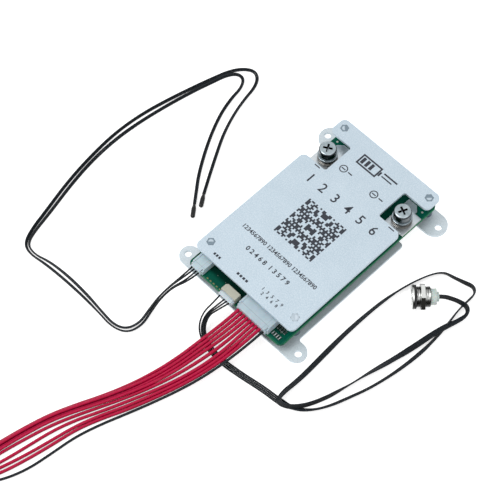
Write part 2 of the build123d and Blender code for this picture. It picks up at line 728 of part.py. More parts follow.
def bundle_place(index):
    across = (index - (balance_count - 1) / 2) * bundle_pitch / 2
    height = balance_wire_diameter / 2 + floor_gap + (bundle_rise if index % 2 else 0)
    return across, height


def balance_route(index):
    start_x = pin_places(balance_center, balance_count, balance_pitch)[index]
    points = [(start_x, connector_front, board_top + wire_hole_height)]
    points += [(x, y, z) for y, x, z in wire_routes[index]]
    across, height = bundle_place(index)
    low = balance_wire_diameter / 2 + floor_gap
    for y, spread, lift in gather_places:
        z = low + (height - low) * max(lift, first_lift if index < 5 else second_lift) + neck_lift * lift
        if index in (1, 3):
            z = height + neck_lift * lift
        points.append((neck_x + across * spread, y, z))
    return points


# Outer form of the put-away bundle: a straight neck, one full turn in two half rings, and the tail's sector
def balance_coil():
    half = (balance_count - 1) / 4 * bundle_pitch + balance_wire_diameter / 2 + coil_margin
    top = balance_wire_diameter + floor_gap + bundle_rise + coil_margin
    first_x = neck_x - coil_radius
    second_radius = coil_radius - coil_turn_step / 2
    second_x = neck_x - 2 * coil_radius + second_radius
    third_radius = second_radius - coil_turn_step / 2
    third_x = neck_x - coil_turn_step - third_radius

    def ring(x, radius, inner, outer):
        return Pos(x, coil_y) * (Circle(radius + outer) - Circle(radius - inner))

    big = 2 * coil_radius + 4 * half
    south = flat_rect(first_x - big, first_x + big, coil_y - big, coil_y)
    north = flat_rect(first_x - big, first_x + big, coil_y, coil_y + big)
    sheet = ring(first_x, coil_radius, half, half) & south
    sheet += ring(second_x, second_radius, half, half) & north
    end = math.radians(coil_tail_angle)
    far = 2 * coil_radius
    wedge = make_face(Polyline([(third_x, coil_y), (third_x + far, coil_y), (third_x + far, coil_y - far),
                                (third_x + far * math.cos(end), coil_y - far * math.sin(end))], close=True))
    sheet += ring(third_x, third_radius, half, half + coil_turn_step - 2 * half + coil_margin) & wedge
    body = extrude(sheet, top)
    return body + block(neck_x - half, neck_x + half, coil_y - 2 * half, neck_end, neck_lift, neck_lift + top)


# Cable tie round the neck: a flat strap with its square head on the outer side
def cable_tie():
    half = (balance_count - 1) / 4 * bundle_pitch + balance_wire_diameter / 2 + coil_margin + tie_clearance
    top = balance_wire_diameter + floor_gap + bundle_rise + coil_margin
    low = neck_lift - tie_clearance
    high = neck_lift + top + tie_clearance
    y0 = tie_position - tie_strap_width / 2
    y1 = tie_position + tie_strap_width / 2
    strap = block(neck_x - half - tie_strap_thickness, neck_x + half + tie_strap_thickness, y0, y1,
                  low - tie_strap_thickness, high + tie_strap_thickness)
    strap = fillet(strap.edges().filter_by(Axis.Y), tie_strap_thickness * 0.8)
    strap -= block(neck_x - half, neck_x + half, y0 - 1, y1 + 1, low, high)
    middle = (low + high) / 2
    head = block(neck_x + half, neck_x + half + tie_head_height, tie_position - tie_head_width / 2,
                 tie_position + tie_head_width / 2, middle - tie_head_width / 2, middle + tie_head_width / 2)
    return strap + head


# Epoxy-dipped thermistor at a lead's end: a neck that swells from the lead, a straight body and a round tip
def sensor_bead(route):
    last = Vector(*route[-1]) - Vector(*route[-2])
    axis = Vector(last.X, last.Y, 0).normalized()
    plane = Plane(origin=route[-1], x_dir=(0, 0, 1), z_dir=axis)
    neck = sensor_lead_diameter / 2
    full = bead_diameter / 2
    side = Line((neck, 0), (full, bead_neck_length))
    wall = Line((full, bead_neck_length), (full, bead_length - full))
    tip = CenterArc((0, bead_length - full), full, 0, 90)
    axis_line = Polyline([(0, bead_length), (0, 0), (neck, 0)])
    profile = make_face(Curve() + [side, wall, tip, axis_line])
    bead = revolve(Plane.XZ * profile, Axis.Z)
    return plane.location * bead


# Power transistors soldered under the board, heat tabs and leads along the board's length
def transistor_places():
    places = []
    for row in range(transistor_rows):
        for column in range(transistor_columns):
            x = (column - (transistor_columns - 1) / 2) * transistor_pitch_x
            y = transistor_center_y + (row - (transistor_rows - 1) / 2) * transistor_pitch_y
            places.append((x, y))
    return places


def power_transistor(x, y):
    half_length = transistor_length / 2
    half_width = transistor_width / 2
    body = block(x - half_length, x + half_length, y - half_width, y + half_width,
                 board_bottom - transistor_height, board_bottom)
    body = chamfer(body.edges().filter_by(Axis.X).group_by(Axis.Z)[0], transistor_chamfer)
    metal = board_bottom - transistor_tab_thickness
    tab = half_length - transistor_tab_inset
    body += block(x - tab, x + tab, y, y + half_width + transistor_tab_length, metal, board_bottom)
    for lead in (x - transistor_lead_offset, x + transistor_lead_offset):
        body += block(lead - transistor_lead_width / 2, lead + transistor_lead_width / 2,
                      y - half_width - transistor_tab_length, y, metal, board_bottom)
    return body


def thermal_pad():
    xs = [x for x, y in transistor_places()]
    ys = [y for x, y in transistor_places()]
    return block(min(xs) - transistor_length / 2 - pad_margin, max(xs) + transistor_length / 2 + pad_margin,
                 min(ys) - transistor_width / 2 - pad_margin, max(ys) + transistor_width / 2 + pad_margin,
                 base_thickness, board_bottom - transistor_height)


# Current shunts between the two terminal plates: metal strips bent up between two feet
def shunt_resistor(x, y):
    strip = block(x - shunt_length / 2, x + shunt_length / 2, y - shunt_width / 2, y + shunt_width / 2,
                  board_top, board_top + shunt_height)
    inner = shunt_length / 2 - shunt_feet
    return strip - block(x - inner, x + inner, y - shunt_width, y + shunt_width,
                         board_top - 1, board_top + shunt_gap)


def flat_chip(place, size):
    x, y = place
    body = block(x - size / 2, x + size / 2, y - size / 2, y + size / 2, board_top + chip_lift,
                 board_top + chip_height)
    body = chamfer(body.edges().filter_by(Axis.Z).sort_by(Axis.X)[0:1], size / 16)
    lead_top = board_top + chip_lead_thickness
    half = size / (5 * chip_lead_count)
    span = size / 2 + chip_lead_reach
    for offset in pin_places(0, chip_lead_count, 0.85 * size / chip_lead_count):
        body += block(x - span, x + span, y + offset - half, y + offset + half, board_top, lead_top)
        body += block(x + offset - half, x + offset + half, y - span, y + span, board_top, lead_top)
    return body


# Radio module: carrier board, shield can and a printed loop antenna
def wireless_module():
    x, y = module_place
    half_width = module_width / 2
    half_length = module_length / 2
    carrier_top = board_top + module_carrier
    carrier = block(x - half_width, x + half_width, y - half_length, y + half_length, board_top, carrier_top)
    can_half = half_width - module_can_inset
    can = block(x - can_half, x + can_half, y - module_can_near, y + module_can_far, carrier_top,
                board_top + module_can_top)
    loop = Rectangle(antenna_width, antenna_length)
    loop -= Rectangle(antenna_width - 2 * antenna_trace, antenna_length - 2 * antenna_trace)
    antenna = extrude(Pos(x, y + antenna_offset, carrier_top) * loop, antenna_thickness)
    return carrier + fillet(can.edges().filter_by(Axis.Z), module_can_inset / 2) + antenna


# Inductor block with a groove round its waist
def power_inductor():
    x, y = inductor_place
    half = inductor_size / 2
    top = board_top + inductor_height
    body = block(x - half, x + half, y - half, y + half, board_top, top)
    body = chamfer(body.edges().filter_by(Axis.Z), inductor_corner)
    low = board_top + inductor_groove
    high = top - 0.8 * inductor_groove
    return body - (disc(inductor_groove_outer, low, high, x, y) - disc(inductor_core, board_top, top, x, y))


def can_capacitor(x, y):
    half = capacitor_base / 2
    base_top = board_top + capacitor_base_height
    base = block(x - half, x + half, y - half, y + half, board_top, base_top)
    base = chamfer(base.edges().filter_by(Axis.Z).sort_by(Axis.X)[0:2], capacitor_base_height)
    can = disc(capacitor_diameter, base_top, board_top + capacitor_height, x, y)
    return base + fillet(can.edges().sort_by(Axis.Z)[-1], capacitor_round)


def chip_part(x, y, length, width, height):
    return block(x - width / 2, x + width / 2, y - length / 2, y + length / 2, board_top, board_top + height)


def main():
    save("base_plate", base_plate())
    save("circuit_board", circuit_board())
    save("cover_plate", cover_plate())
    for number, (x, y) in enumerate(screw_places, 1):
        save(f"cover_standoff_{number}", cover_standoff(x, y))
        save(f"board_spacer_{number}", board_spacer(x, y))
    save("base_screws", group(base_screw(x, y) for x, y in screw_places))

    for name, side in (("left", -1), ("right", 1)):
        save(f"terminal_plate_{name}", terminal_plate(side))
        save(f"terminal_post_{name}", terminal_post(side))
        save(f"flat_washer_{name}", flat_washer(side))
        save(f"spring_washer_{name}", spring_washer(side))
        save(f"terminal_screw_{name}", terminal_screw(side))

    balance = (balance_center, balance_count, balance_pitch, balance_header_width, balance_height)
    sensor = (sensor_center, sensor_count, sensor_pitch, sensor_header_width, sensor_height)
    save("balance_header", side_header(*balance))
    save("balance_plug", side_plug(*balance))
    save("sensor_header", side_header(*sensor))
    save("sensor_plug", side_plug(*sensor))
    save("button_header", button_header())
    save("button_plug", button_plug())

    for index in range(balance_count):
        name = f"balance_wire_{index + 1}"
        save(name, cord_tube(name, balance_route(index), balance_wire_diameter))
    save("balance_coil", balance_coil())
    save("cable_tie", cable_tie())

    for number, route in ((1, sensor_route_1), (2, sensor_route_2)):
        name = f"sensor_lead_{number}"
        save(name, cord_tube(name, route, sensor_lead_diameter))
        save(f"sensor_bead_{number}", sensor_bead(route))

    save("button_ribbon", cord_tube("button_ribbon", ribbon_route(), ribbon_tube_diameter))
    save("button_body", button_body())
    save("button_cap", button_cap())
    save("button_spring", button_spring())
    save("button_nut", button_nut())
    save("button_gasket", button_gasket())
    save("button_rear_block", button_rear_block())

    save("power_transistors", group(power_transistor(x, y) for x, y in transistor_places()))
    save("thermal_pad", thermal_pad())
    save("shunt_resistors", group(shunt_resistor(x, y) for x, y in shunt_places))
    save("controller_chip", flat_chip(controller_place, controller_size))
    save("monitor_chip", flat_chip(monitor_place, monitor_size))
    save("wireless_module", wireless_module())
    save("power_inductor", power_inductor())
    save("balance_capacitors", group(can_capacitor(x, y) for x, y in capacitor_places))
    chips = [chip_part(x, y, *small_chip) for x, y in corner_chips + edge_chips]
    chips += [chip_part(x, y, *large_chip) for x, y in balance_resistors]
    save("chip_parts", group(chips))


main()
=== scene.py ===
import math

import bpy
import bmesh
from mathutils import Matrix, Vector


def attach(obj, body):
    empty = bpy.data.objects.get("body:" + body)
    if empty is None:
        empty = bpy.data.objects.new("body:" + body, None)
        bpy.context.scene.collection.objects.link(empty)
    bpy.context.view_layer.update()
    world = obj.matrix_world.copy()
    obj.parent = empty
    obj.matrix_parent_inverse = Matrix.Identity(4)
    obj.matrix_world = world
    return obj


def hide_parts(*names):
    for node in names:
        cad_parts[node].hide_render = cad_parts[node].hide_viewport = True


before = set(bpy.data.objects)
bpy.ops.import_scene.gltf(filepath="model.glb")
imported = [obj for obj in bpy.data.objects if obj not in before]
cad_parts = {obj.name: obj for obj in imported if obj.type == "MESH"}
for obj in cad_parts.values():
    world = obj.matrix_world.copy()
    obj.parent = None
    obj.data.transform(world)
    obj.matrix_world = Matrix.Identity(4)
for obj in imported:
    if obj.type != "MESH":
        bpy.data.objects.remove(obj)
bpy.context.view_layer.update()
mm = 0.001
scene = bpy.context.scene
print("frame loaded")


# A socket in an expression: each operator adds its own Math node
class Wire:
    def __init__(self, shade, socket):
        self.shade = shade
        self.socket = socket

    def maths(self, operation, first, second=None, clamp=False):
        settings = {"operation": operation, "use_clamp": clamp}
        return self.shade.add("ShaderNodeMath", settings, [first, second])

    def __add__(self, other):
        return self.maths("ADD", self, other)

    def __sub__(self, other):
        return self.maths("SUBTRACT", self, other)

    def __mul__(self, other):
        return self.maths("MULTIPLY", self, other)

    def __radd__(self, other):
        return self.maths("ADD", other, self)

    def __rsub__(self, other):
        return self.maths("SUBTRACT", other, self)

    def __rmul__(self, other):
        return self.maths("MULTIPLY", other, self)

    def least(self, other):
        return self.maths("MINIMUM", self, other)

    def most(self, other):
        return self.maths("MAXIMUM", self, other)

    def size(self):
        return self.maths("ABSOLUTE", self)

    def root(self):
        return self.maths("SQRT", self)

    def sine(self):
        return self.maths("SINE", self)

    def within(self):
        return self.maths("ADD", self, 0.0, clamp=True)

    # the same span again and again, with 0 at its middle
    def repeated(self, span):
        return self.shade.add("ShaderNodeMath", {"operation": "WRAP"}, [self, span / 2, -span / 2])


# A material with one Principled shader, and short ways to add what feeds it
class Shade:
    def __init__(self, name, **fixed):
        self.material = bpy.data.materials.new(name)
        self.material.use_nodes = True
        self.tree = self.material.node_tree
        self.shader = self.tree.nodes["Principled BSDF"]
        for key, value in fixed.items():
            self.feed(key.replace("_", " "), value)

    def join(self, value, socket):
        if isinstance(value, Wire):
            self.tree.links.new(value.socket, socket)
        else:
            socket.default_value = value

    def add(self, kind, settings=None, inputs=(), output=0):
        node = self.tree.nodes.new(kind)
        for key, value in (settings or {}).items():
            if key == "stops":
                ramp = node.color_ramp.elements
                ramp[0].position, ramp[0].color = value[0]
                ramp[1].position, ramp[1].color = value[-1]
                for place, colour in value[1:-1]:
                    ramp.new(place).color = colour
            else:
                setattr(node, key, value)
        pairs = inputs.items() if isinstance(inputs, dict) else enumerate(inputs)
        for key, value in pairs:
            if value is not None:
                self.join(value, node.inputs[key])
        return Wire(self, node.outputs[output])

    def feed(self, name, value):
        self.join(value, self.shader.inputs[name])

    # object coordinates in millimetres
    def place(self):
        spot = self.add("ShaderNodeTexCoord", output="Object")
        return self.add("ShaderNodeVectorMath", {"operation": "SCALE"}, {0: spot, "Scale": 1000.0})

    def axes(self):
        spot = self.place()
        return [self.add("ShaderNodeSeparateXYZ", None, [spot], key) for key in "XYZ"]

    def noise(self, size, detail=3.0, stretch=None):
        spot = self.place()
        if stretch:
            spot = self.add("ShaderNodeVectorMath", {"operation": "MULTIPLY"}, [spot, stretch])
        return self.add("ShaderNodeTexNoise", None, {"Vector": spot, "Scale": 1 / size, "Detail": detail})

    def mix(self, factor, first, second):
        return self.add("ShaderNodeMix", {"data_type": "RGBA"}, {0: factor, 6: first, 7: second}, 2)

    # 1 inside a level rectangle, 0 outside it, with a soft edge in millimetres
    def patch(self, x, y, middle, half, soft=0.08):
        across = (x - middle[0]).size() - half[0]
        along = (y - middle[1]).size() - half[1]
        return (0.5 - across.most(along) * (1 / soft)).within()

    def spot(self, x, y, middle, radius, soft=0.1):
        across = x - middle[0]
        along = y - middle[1]
        reach = (across * across + along * along).root()
        return ((radius - reach) * (1 / soft) + 0.5).within()

    # 1 on faces that look along a direction, -1 on faces that look the other way
    def looking(self, direction):
        normal = self.add("ShaderNodeNewGeometry", output="Normal")
        return self.add("ShaderNodeVectorMath", {"operation": "DOT_PRODUCT"}, [normal, direction], "Value")

    def bump(self, height, depth, strength=1.0):
        self.feed("Normal", self.add("ShaderNodeBump", None, {
            "Strength": strength, "Distance": depth * mm, "Height": height}))


# A colour as it looks on screen, 0 to 255
def tone(red, green, blue):
    linear = [((c / 255 + 0.055) / 1.055) ** 2.4 if c > 10 else c / 255 / 12.92 for c in (red, green, blue)]
    return (*linear, 1.0)


# Camera at the photograph's viewing angle
camera = {
    "lens": 113.44,
    "sensor": 36.0,
    "right": (0.69604, 0.71764, -0.02264),
    "up": (-0.62059, 0.61717, 0.48371),
    "forward": (-0.36110, 0.32264, -0.87493),
    "place": (256.54, -270.63, 666.27),
}
lens = bpy.data.cameras.new("camera")
lens.lens = camera["lens"]
lens.sensor_width = camera["sensor"]
lens.clip_start = 0.01
lens.clip_end = 20.0
viewer = bpy.data.objects.new("camera", lens)
turn = Matrix((camera["right"], camera["up"], [-c for c in camera["forward"]])).transposed()
viewer.matrix_world = Matrix.Translation(Vector(camera["place"]) * mm) @ turn.to_4x4()
scene.collection.objects.link(viewer)
scene.camera = viewer
print("camera set")


def link(name, data, body, shade):
    piece = bpy.data.objects.new(name, data)
    scene.collection.objects.link(piece)
    data.materials.append(shade.material)
    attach(piece, body)
    return piece


# Wire insulation with a fine grain. Its darker sides are painted shade and the pale stripe on top is a painted
# highlight, both set by the faces' direction
def insulation(name, dark, light, highlightTone, rough, coat):
    shade = Shade(name, Coat_Weight=coat, Coat_Roughness=0.25, Specular_IOR_Level=0.14)
    cloud = shade.noise(4.0, 3.0)
    grain = shade.noise(0.35, 2.0)
    rise = shade.looking((0.0, 0.0, 1.0))
    colour = shade.mix(cloud, tone(*dark), tone(*light))
    # painted shade: faces that look sideways or down are darker
    colour = shade.mix(((0.6 - rise) * 2).within() * 0.6, colour, tone(*[c * 0.6 for c in dark]))
    # painted highlight: a pale stripe on the faces that look straight up
    paintedHighlight = ((rise - 0.965) * 40).within() * (0.12 + cloud * 0.24)
    shade.feed("Base Color", shade.mix(paintedHighlight, colour, tone(*highlightTone)))
    shade.feed("Roughness", rough + (grain - 0.5) * 0.14)
    shade.bump(grain + cloud * 2, 0.02, 0.5)
    return shade


redSkin = insulation("redInsulation", (164, 0, 46), (184, 0, 64), (226, 74, 116), 0.28, 0.03)
blackSkin = insulation("blackInsulation", (7, 12, 16), (20, 26, 32), (70, 82, 94), 0.26, 0.08)


def tinnedStrand():
    shade = Shade("tinnedStrand", Metallic=1.0)
    twist = shade.noise(0.25, 2.0)
    shade.feed("Base Color", shade.mix(twist, tone(176, 172, 166), tone(222, 220, 214)))
    shade.feed("Roughness", 0.28 + twist * 0.2)
    shade.bump(twist, 0.03)
    return shade


tinSkin = tinnedStrand()


# A round cord through control points. swell gives its width at the first point, the width further on, in shares of
# the thickness, and the number of the point where that is reached
def laidCurve(name, points, thickness=0.0, swell=(1.0, 1.0, 1)):
    curve = bpy.data.curves.new(name, "CURVE")
    curve.dimensions = "3D"
    curve.resolution_u = 8
    spline = curve.splines.new("NURBS")
    spline.points.add(len(points) - 1)
    near, far, span = swell
    for place, (knot, (x, y, z)) in enumerate(zip(spline.points, points)):
        knot.co = (x * mm, y * mm, z * mm, 1.0)
        knot.radius = near + (far - near) * min(1.0, place / span)
    spline.order_u = 3
    spline.use_endpoint_u = True
    curve.bevel_depth = thickness / 2 * mm
    curve.bevel_resolution = 4
    curve.use_fill_caps = True
    return curve


# Vertices along a route's own smooth line, in metres
def pointsAlong(points):
    carrier = bpy.data.objects.new("routeLine", laidCurve("routeLine", points))
    line = bpy.data.meshes.new_from_object(carrier)
    path = [vertex.co.copy() for vertex in line.vertices]
    bpy.data.objects.remove(carrier)
    return path


# Length of a path up to each of its points
def steps(path):
    reach = [0.0]
    for first, second in zip(path, path[1:]):
        reach.append(reach[-1] + (second - first).length)
    return reach


# Value at a place in a table of (place, value) rows, eased between them
def tableValue(table, place):
    if place <= table[0][0]:
        return table[0][1]
    for (a, first), (b, second) in zip(table, table[1:]):
        if place <= b:
            share = (place - a) / (b - a)
            share = share * share * (3 - 2 * share)
            return first + (second - first) * share
    return table[-1][1]


# Height kept between a strand and the floor, in millimetres
floorGap = 0.03


# Round strands side by side along a path. offsets(i) gives each strand's place across, turnAt(i) how far they all
# turn on edge
def strandMesh(name, path, radius, offsets, turnAt, sides=10):
    mesh = bmesh.new()
    count = len(path)
    rings = {}
    for i, point in enumerate(path):
        ahead = path[min(i + 1, count - 1)] - path[max(i - 1, 0)]
        ahead.normalize()
        across = Vector((0, 0, 1)).cross(ahead).normalized()
        over = ahead.cross(across)
        angle = turnAt(i)
        lift = max(abs(o) for o in offsets(i)) * abs(math.sin(angle)) + radius
        middle = point.copy()
        middle.z = max(middle.z, lift + floorGap * mm)
        for strand, offset in enumerate(offsets(i)):
            centre = middle + (across * math.cos(angle) + over * math.sin(angle)) * offset
            ring = []
            for side in range(sides):
                a = 2 * math.pi * side / sides
                ring.append(mesh.verts.new(centre + (across * math.cos(a) + over * math.sin(a)) * radius))
            rings[strand, i] = ring
    for strand in range(len(offsets(0))):
        for i in range(count - 1):
            low, high = rings[strand, i], rings[strand, i + 1]
            for side in range(sides):
                after = (side + 1) % sides
                mesh.faces.new((low[side], low[after], high[after], high[side]))
        mesh.faces.new(rings[strand, 0][::-1])
        mesh.faces.new(rings[strand, count - 1])
    data = bpy.data.meshes.new(name)
    bmesh.ops.recalc_face_normals(mesh, faces=mesh.faces)
    mesh.to_mesh(data)
    mesh.free()
    for face in data.polygons:
        face.use_smooth = len(face.vertices) == 4
    return data


# Temperature leads: each is two thin wires that lie together. turns has their turn in radians at lengths along them
sensorLead = {
    "strand": 0.92,
    "plugGap": 1.5,
    "fanLength": 13.0,
    "fanPower": 1.5,
    "calmLength": 20.0,
    "sway": ((0.2, 52, 2.1), (0.1, 131, 0.0)),
    "turns": [(0, 0.0), (20, 1.0), (60, 1.1), (72, 0.7), (98, 0.7), (110, 1.15), (135, 1.1), (165, 0.8), (235, 0.8),
              (262, 0.6), (280, 0.3), (340, 0.2)],
    "lengths": (0.338, 0.3515),
    "exits": ((-26.35, -54.6, 10.0), (-23.35, -54.6, 10.0)),
}
sensorRoutes = [
    [(-26.35, -54.6, 10.0), (-26.35, -60.4, 10.0), (-28.0, -67.6, 7.6), (-28.9, -74.6, 4.6), (-28.2, -81.7, 2.0),
     (-26.7, -88.9, 0.8), (-28.4, -95.7, 0.7), (-34.3, -98.8, 0.7), (-43.8, -98.2, 0.7), (-55.4, -97.2, 0.7),
     (-69.1, -97.0, 0.7), (-81.6, -98.2, 0.7), (-89.7, -100.8, 0.7), (-96.3, -99.8, 0.7), (-99.4, -93.3, 0.7),
     (-102.4, -80.2, 0.7), (-107.0, -63.2, 0.7), (-110.5, -45.7, 0.7), (-111.7, -28.0, 0.7), (-110.4, -11.0, 0.7),
     (-107.7, 6.6, 0.7), (-104.7, 21.0, 0.7), (-102.3, 29.8, 0.7), (-100.6, 37.0, 0.7), (-97.3, 42.3, 0.7),
     (-92.5, 42.6, 0.7), (-89.3, 37.2, 0.7), (-88.5, 30.5, 0.7), (-85.4, 19.2, 0.7), (-78.1, 4.0, 0.7),
     (-67.4, -12.9, 0.7), (-60.0, -21.6, 0.9), (-55.6, -26.9, 1.2)],
    [(-23.35, -54.6, 10.0), (-23.35, -60.6, 10.0), (-26.7, -67.5, 7.6), (-27.6, -75.0, 4.6), (-26.9, -81.7, 2.0),
     (-24.9, -89.4, 0.8), (-26.8, -97.1, 0.7), (-34.3, -100.3, 0.7), (-44.7, -99.6, 0.7), (-55.6, -99.2, 0.7),
     (-69.1, -99.5, 0.7), (-82.3, -100.5, 0.7), (-91.3, -102.3, 0.7), (-97.6, -100.6, 0.7), (-101.3, -93.2, 0.7),
     (-104.6, -80.5, 0.7), (-109.3, -63.6, 0.7), (-112.6, -45.8, 0.7), (-114.5, -27.1, 0.7), (-113.5, -9.5, 0.7),
     (-110.2, 7.6, 0.7), (-106.3, 23.1, 0.7), (-103.6, 32.6, 0.7), (-101.2, 40.4, 0.7), (-97.4, 46.4, 0.7),
     (-92.3, 49.8, 0.7), (-87.6, 47.9, 0.7), (-84.6, 42.2, 0.7), (-83.4, 35.0, 0.7), (-80.7, 24.7, 0.7),
     (-75.7, 12.1, 0.7), (-68.4, -0.5, 0.7), (-61.3, -12.2, 0.9), (-56.6, -19.6, 1.2)],
]
for number, route in enumerate(sensorRoutes, 1):
    path = pointsAlong(route)
    reach = steps(path)
    strand = sensorLead["strand"] * mm

    def pairOffsets(i):
        fan = max(0.0, 1 - reach[i] / (sensorLead["fanLength"] * mm)) ** sensorLead["fanPower"]
        half = strand / 2 + (sensorLead["plugGap"] * mm - strand) / 2 * fan
        return (-half, half)

    def pairTurn(i):
        calm = min(1.0, reach[i] / (sensorLead["calmLength"] * mm))
        sway = sum(share * math.sin(reach[i] * rate + number * phase) for share, rate, phase in sensorLead["sway"])
        return tableValue(sensorLead["turns"], reach[i] / mm) + calm * sway

    name = f"temperature_lead_{number}"
    data = strandMesh(name, path, strand / 2, pairOffsets, pairTurn)
    lead = link(name, data, "board", blackSkin)
    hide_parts(f"sensor_lead_{number}")

# Button ribbon: four wires side by side that turn on edge along the floor
ribbon = {
    "strand": 0.85,
    "width": 3.4,
    "length": 0.4328,
    "plugPlaces": (-3.0, 0.0, 1.5, 3.0),
    "joinLengths": (22.0, 12.0, 10.0, 10.0),
    "joinPower": 1.3,
    "searchSteps": 24,
    "exit": (-3.85, -55.6, 10.0),
}
ribbonRoute = [
    (-3.85, -55.6, 10.0), (-3.85, -60.2, 10.0), (-5.2, -65.6, 7.2), (-3.8, -70.4, 3.8), (0.4, -73.6, 1.4),
    (7.2, -75.4, 0.9), (16.2, -75.7, 0.9), (27.4, -74.1, 0.9), (38.6, -71.9, 0.9), (46.8, -71.1, 0.9),
    (53.4, -69.7, 0.9), (58.6, -66.9, 0.9), (62.9, -62.4, 0.9), (66.4, -56.0, 0.9), (69.4, -47.6, 0.9),
    (73.2, -36.4, 0.9), (76.1, -21.4, 0.9), (77.3, -6.0, 0.9), (76.9, 5.0, 0.9), (75.9, 13.4, 0.9),
    (74.6, 21.2, 0.9), (74.5, 27.6, 0.9), (74.5, 33.4, 0.9), (71.4, 35.9, 0.9), (66.6, 34.3, 0.9),
    (61.0, 32.7, 0.9), (56.0, 31.6, 0.9), (52.3, 25.9, 0.9), (48.9, 15.4, 0.9), (46.6, 3.0, 0.9),
    (45.7, -10.0, 0.9), (45.5, -25.0, 0.9), (46.1, -39.0, 0.9), (46.8, -51.0, 0.9), (47.0, -60.4, 1.7),
    (46.9, -66.8, 2.8), (48.0, -72.4, 2.9), (52.9, -71.0, 2.9), (56.6, -67.6, 2.9), (60.2, -61.6, 2.9),
    (62.9, -52.6, 1.6), (65.1, -43.6, 0.9), (67.5, -31.4, 0.9), (70.7, -17.6, 0.9), (73.1, -5.0, 1.0),
    (75.1, 4.2, 2.8), (76.9, 11.6, 2.9), (78.6, 17.0, 2.4), (79.4, 22.6, 2.6), (76.7, 25.4, 2.9),
    (71.9, 24.2, 3.6), (68.2, 21.8, 5.0), (66.3, 20.1, 6.0), (64.58, 18.36, 6.0),
]
# turn of the ribbon in degrees at places along its route's points
ribbonTurns = [
    (2, 0), (6, 13), (9, 15), (10.5, -42), (12.3, -60), (13.6, -55), (15.3, -58), (16.8, -48), (17.5, -61),
    (20, -77), (21.5, -81), (23.5, -87), (25, -99), (26.3, -114), (28.4, -114), (29.4, -129), (31, -140),
    (32, -150), (34.5, -145), (37, -105), (40, -95), (41.4, -70), (42.8, -33), (43.7, -17), (45.8, -24),
    (47.2, -40), (48.2, -66), (50.5, -87), (53, -90),
]
ribbonPath = pointsAlong(ribbonRoute)
ribbonReach = steps(ribbonPath)
# for each of the route's points, the nearest vertex of the path
knotPlaces = []
for knot in ribbonRoute:
    spot = Vector(knot) * mm
    start = knotPlaces[-1] if knotPlaces else 0
    near = range(start, min(start + ribbon["searchSteps"], len(ribbonPath)))
    knotPlaces.append(min(near, key=lambda i: (ribbonPath[i] - spot).length))


def ribbonOffsets(i):
    places = []
    for strand in range(4):
        packed = (strand - 1.5) * ribbon["strand"]
        fan = max(0.0, 1 - ribbonReach[i] / (ribbon["joinLengths"][strand] * mm)) ** ribbon["joinPower"]
        places.append((packed + (ribbon["plugPlaces"][strand] - packed) * fan) * mm)
    return places


def ribbonTurn(i):
    low = max(k for k in range(len(knotPlaces)) if knotPlaces[k] <= i)
    high = min(low + 1, len(knotPlaces) - 1)
    span = max(1, knotPlaces[high] - knotPlaces[low])
    return math.radians(tableValue(ribbonTurns, low + (i - knotPlaces[low]) / span))


ribbonData = strandMesh("ribbon_cable", ribbonPath, ribbon["strand"] / 2 * mm, ribbonOffsets, ribbonTurn)
ribbonPiece = link("ribbon_cable", ribbonData, "board", blackSkin)
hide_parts("button_ribbon")

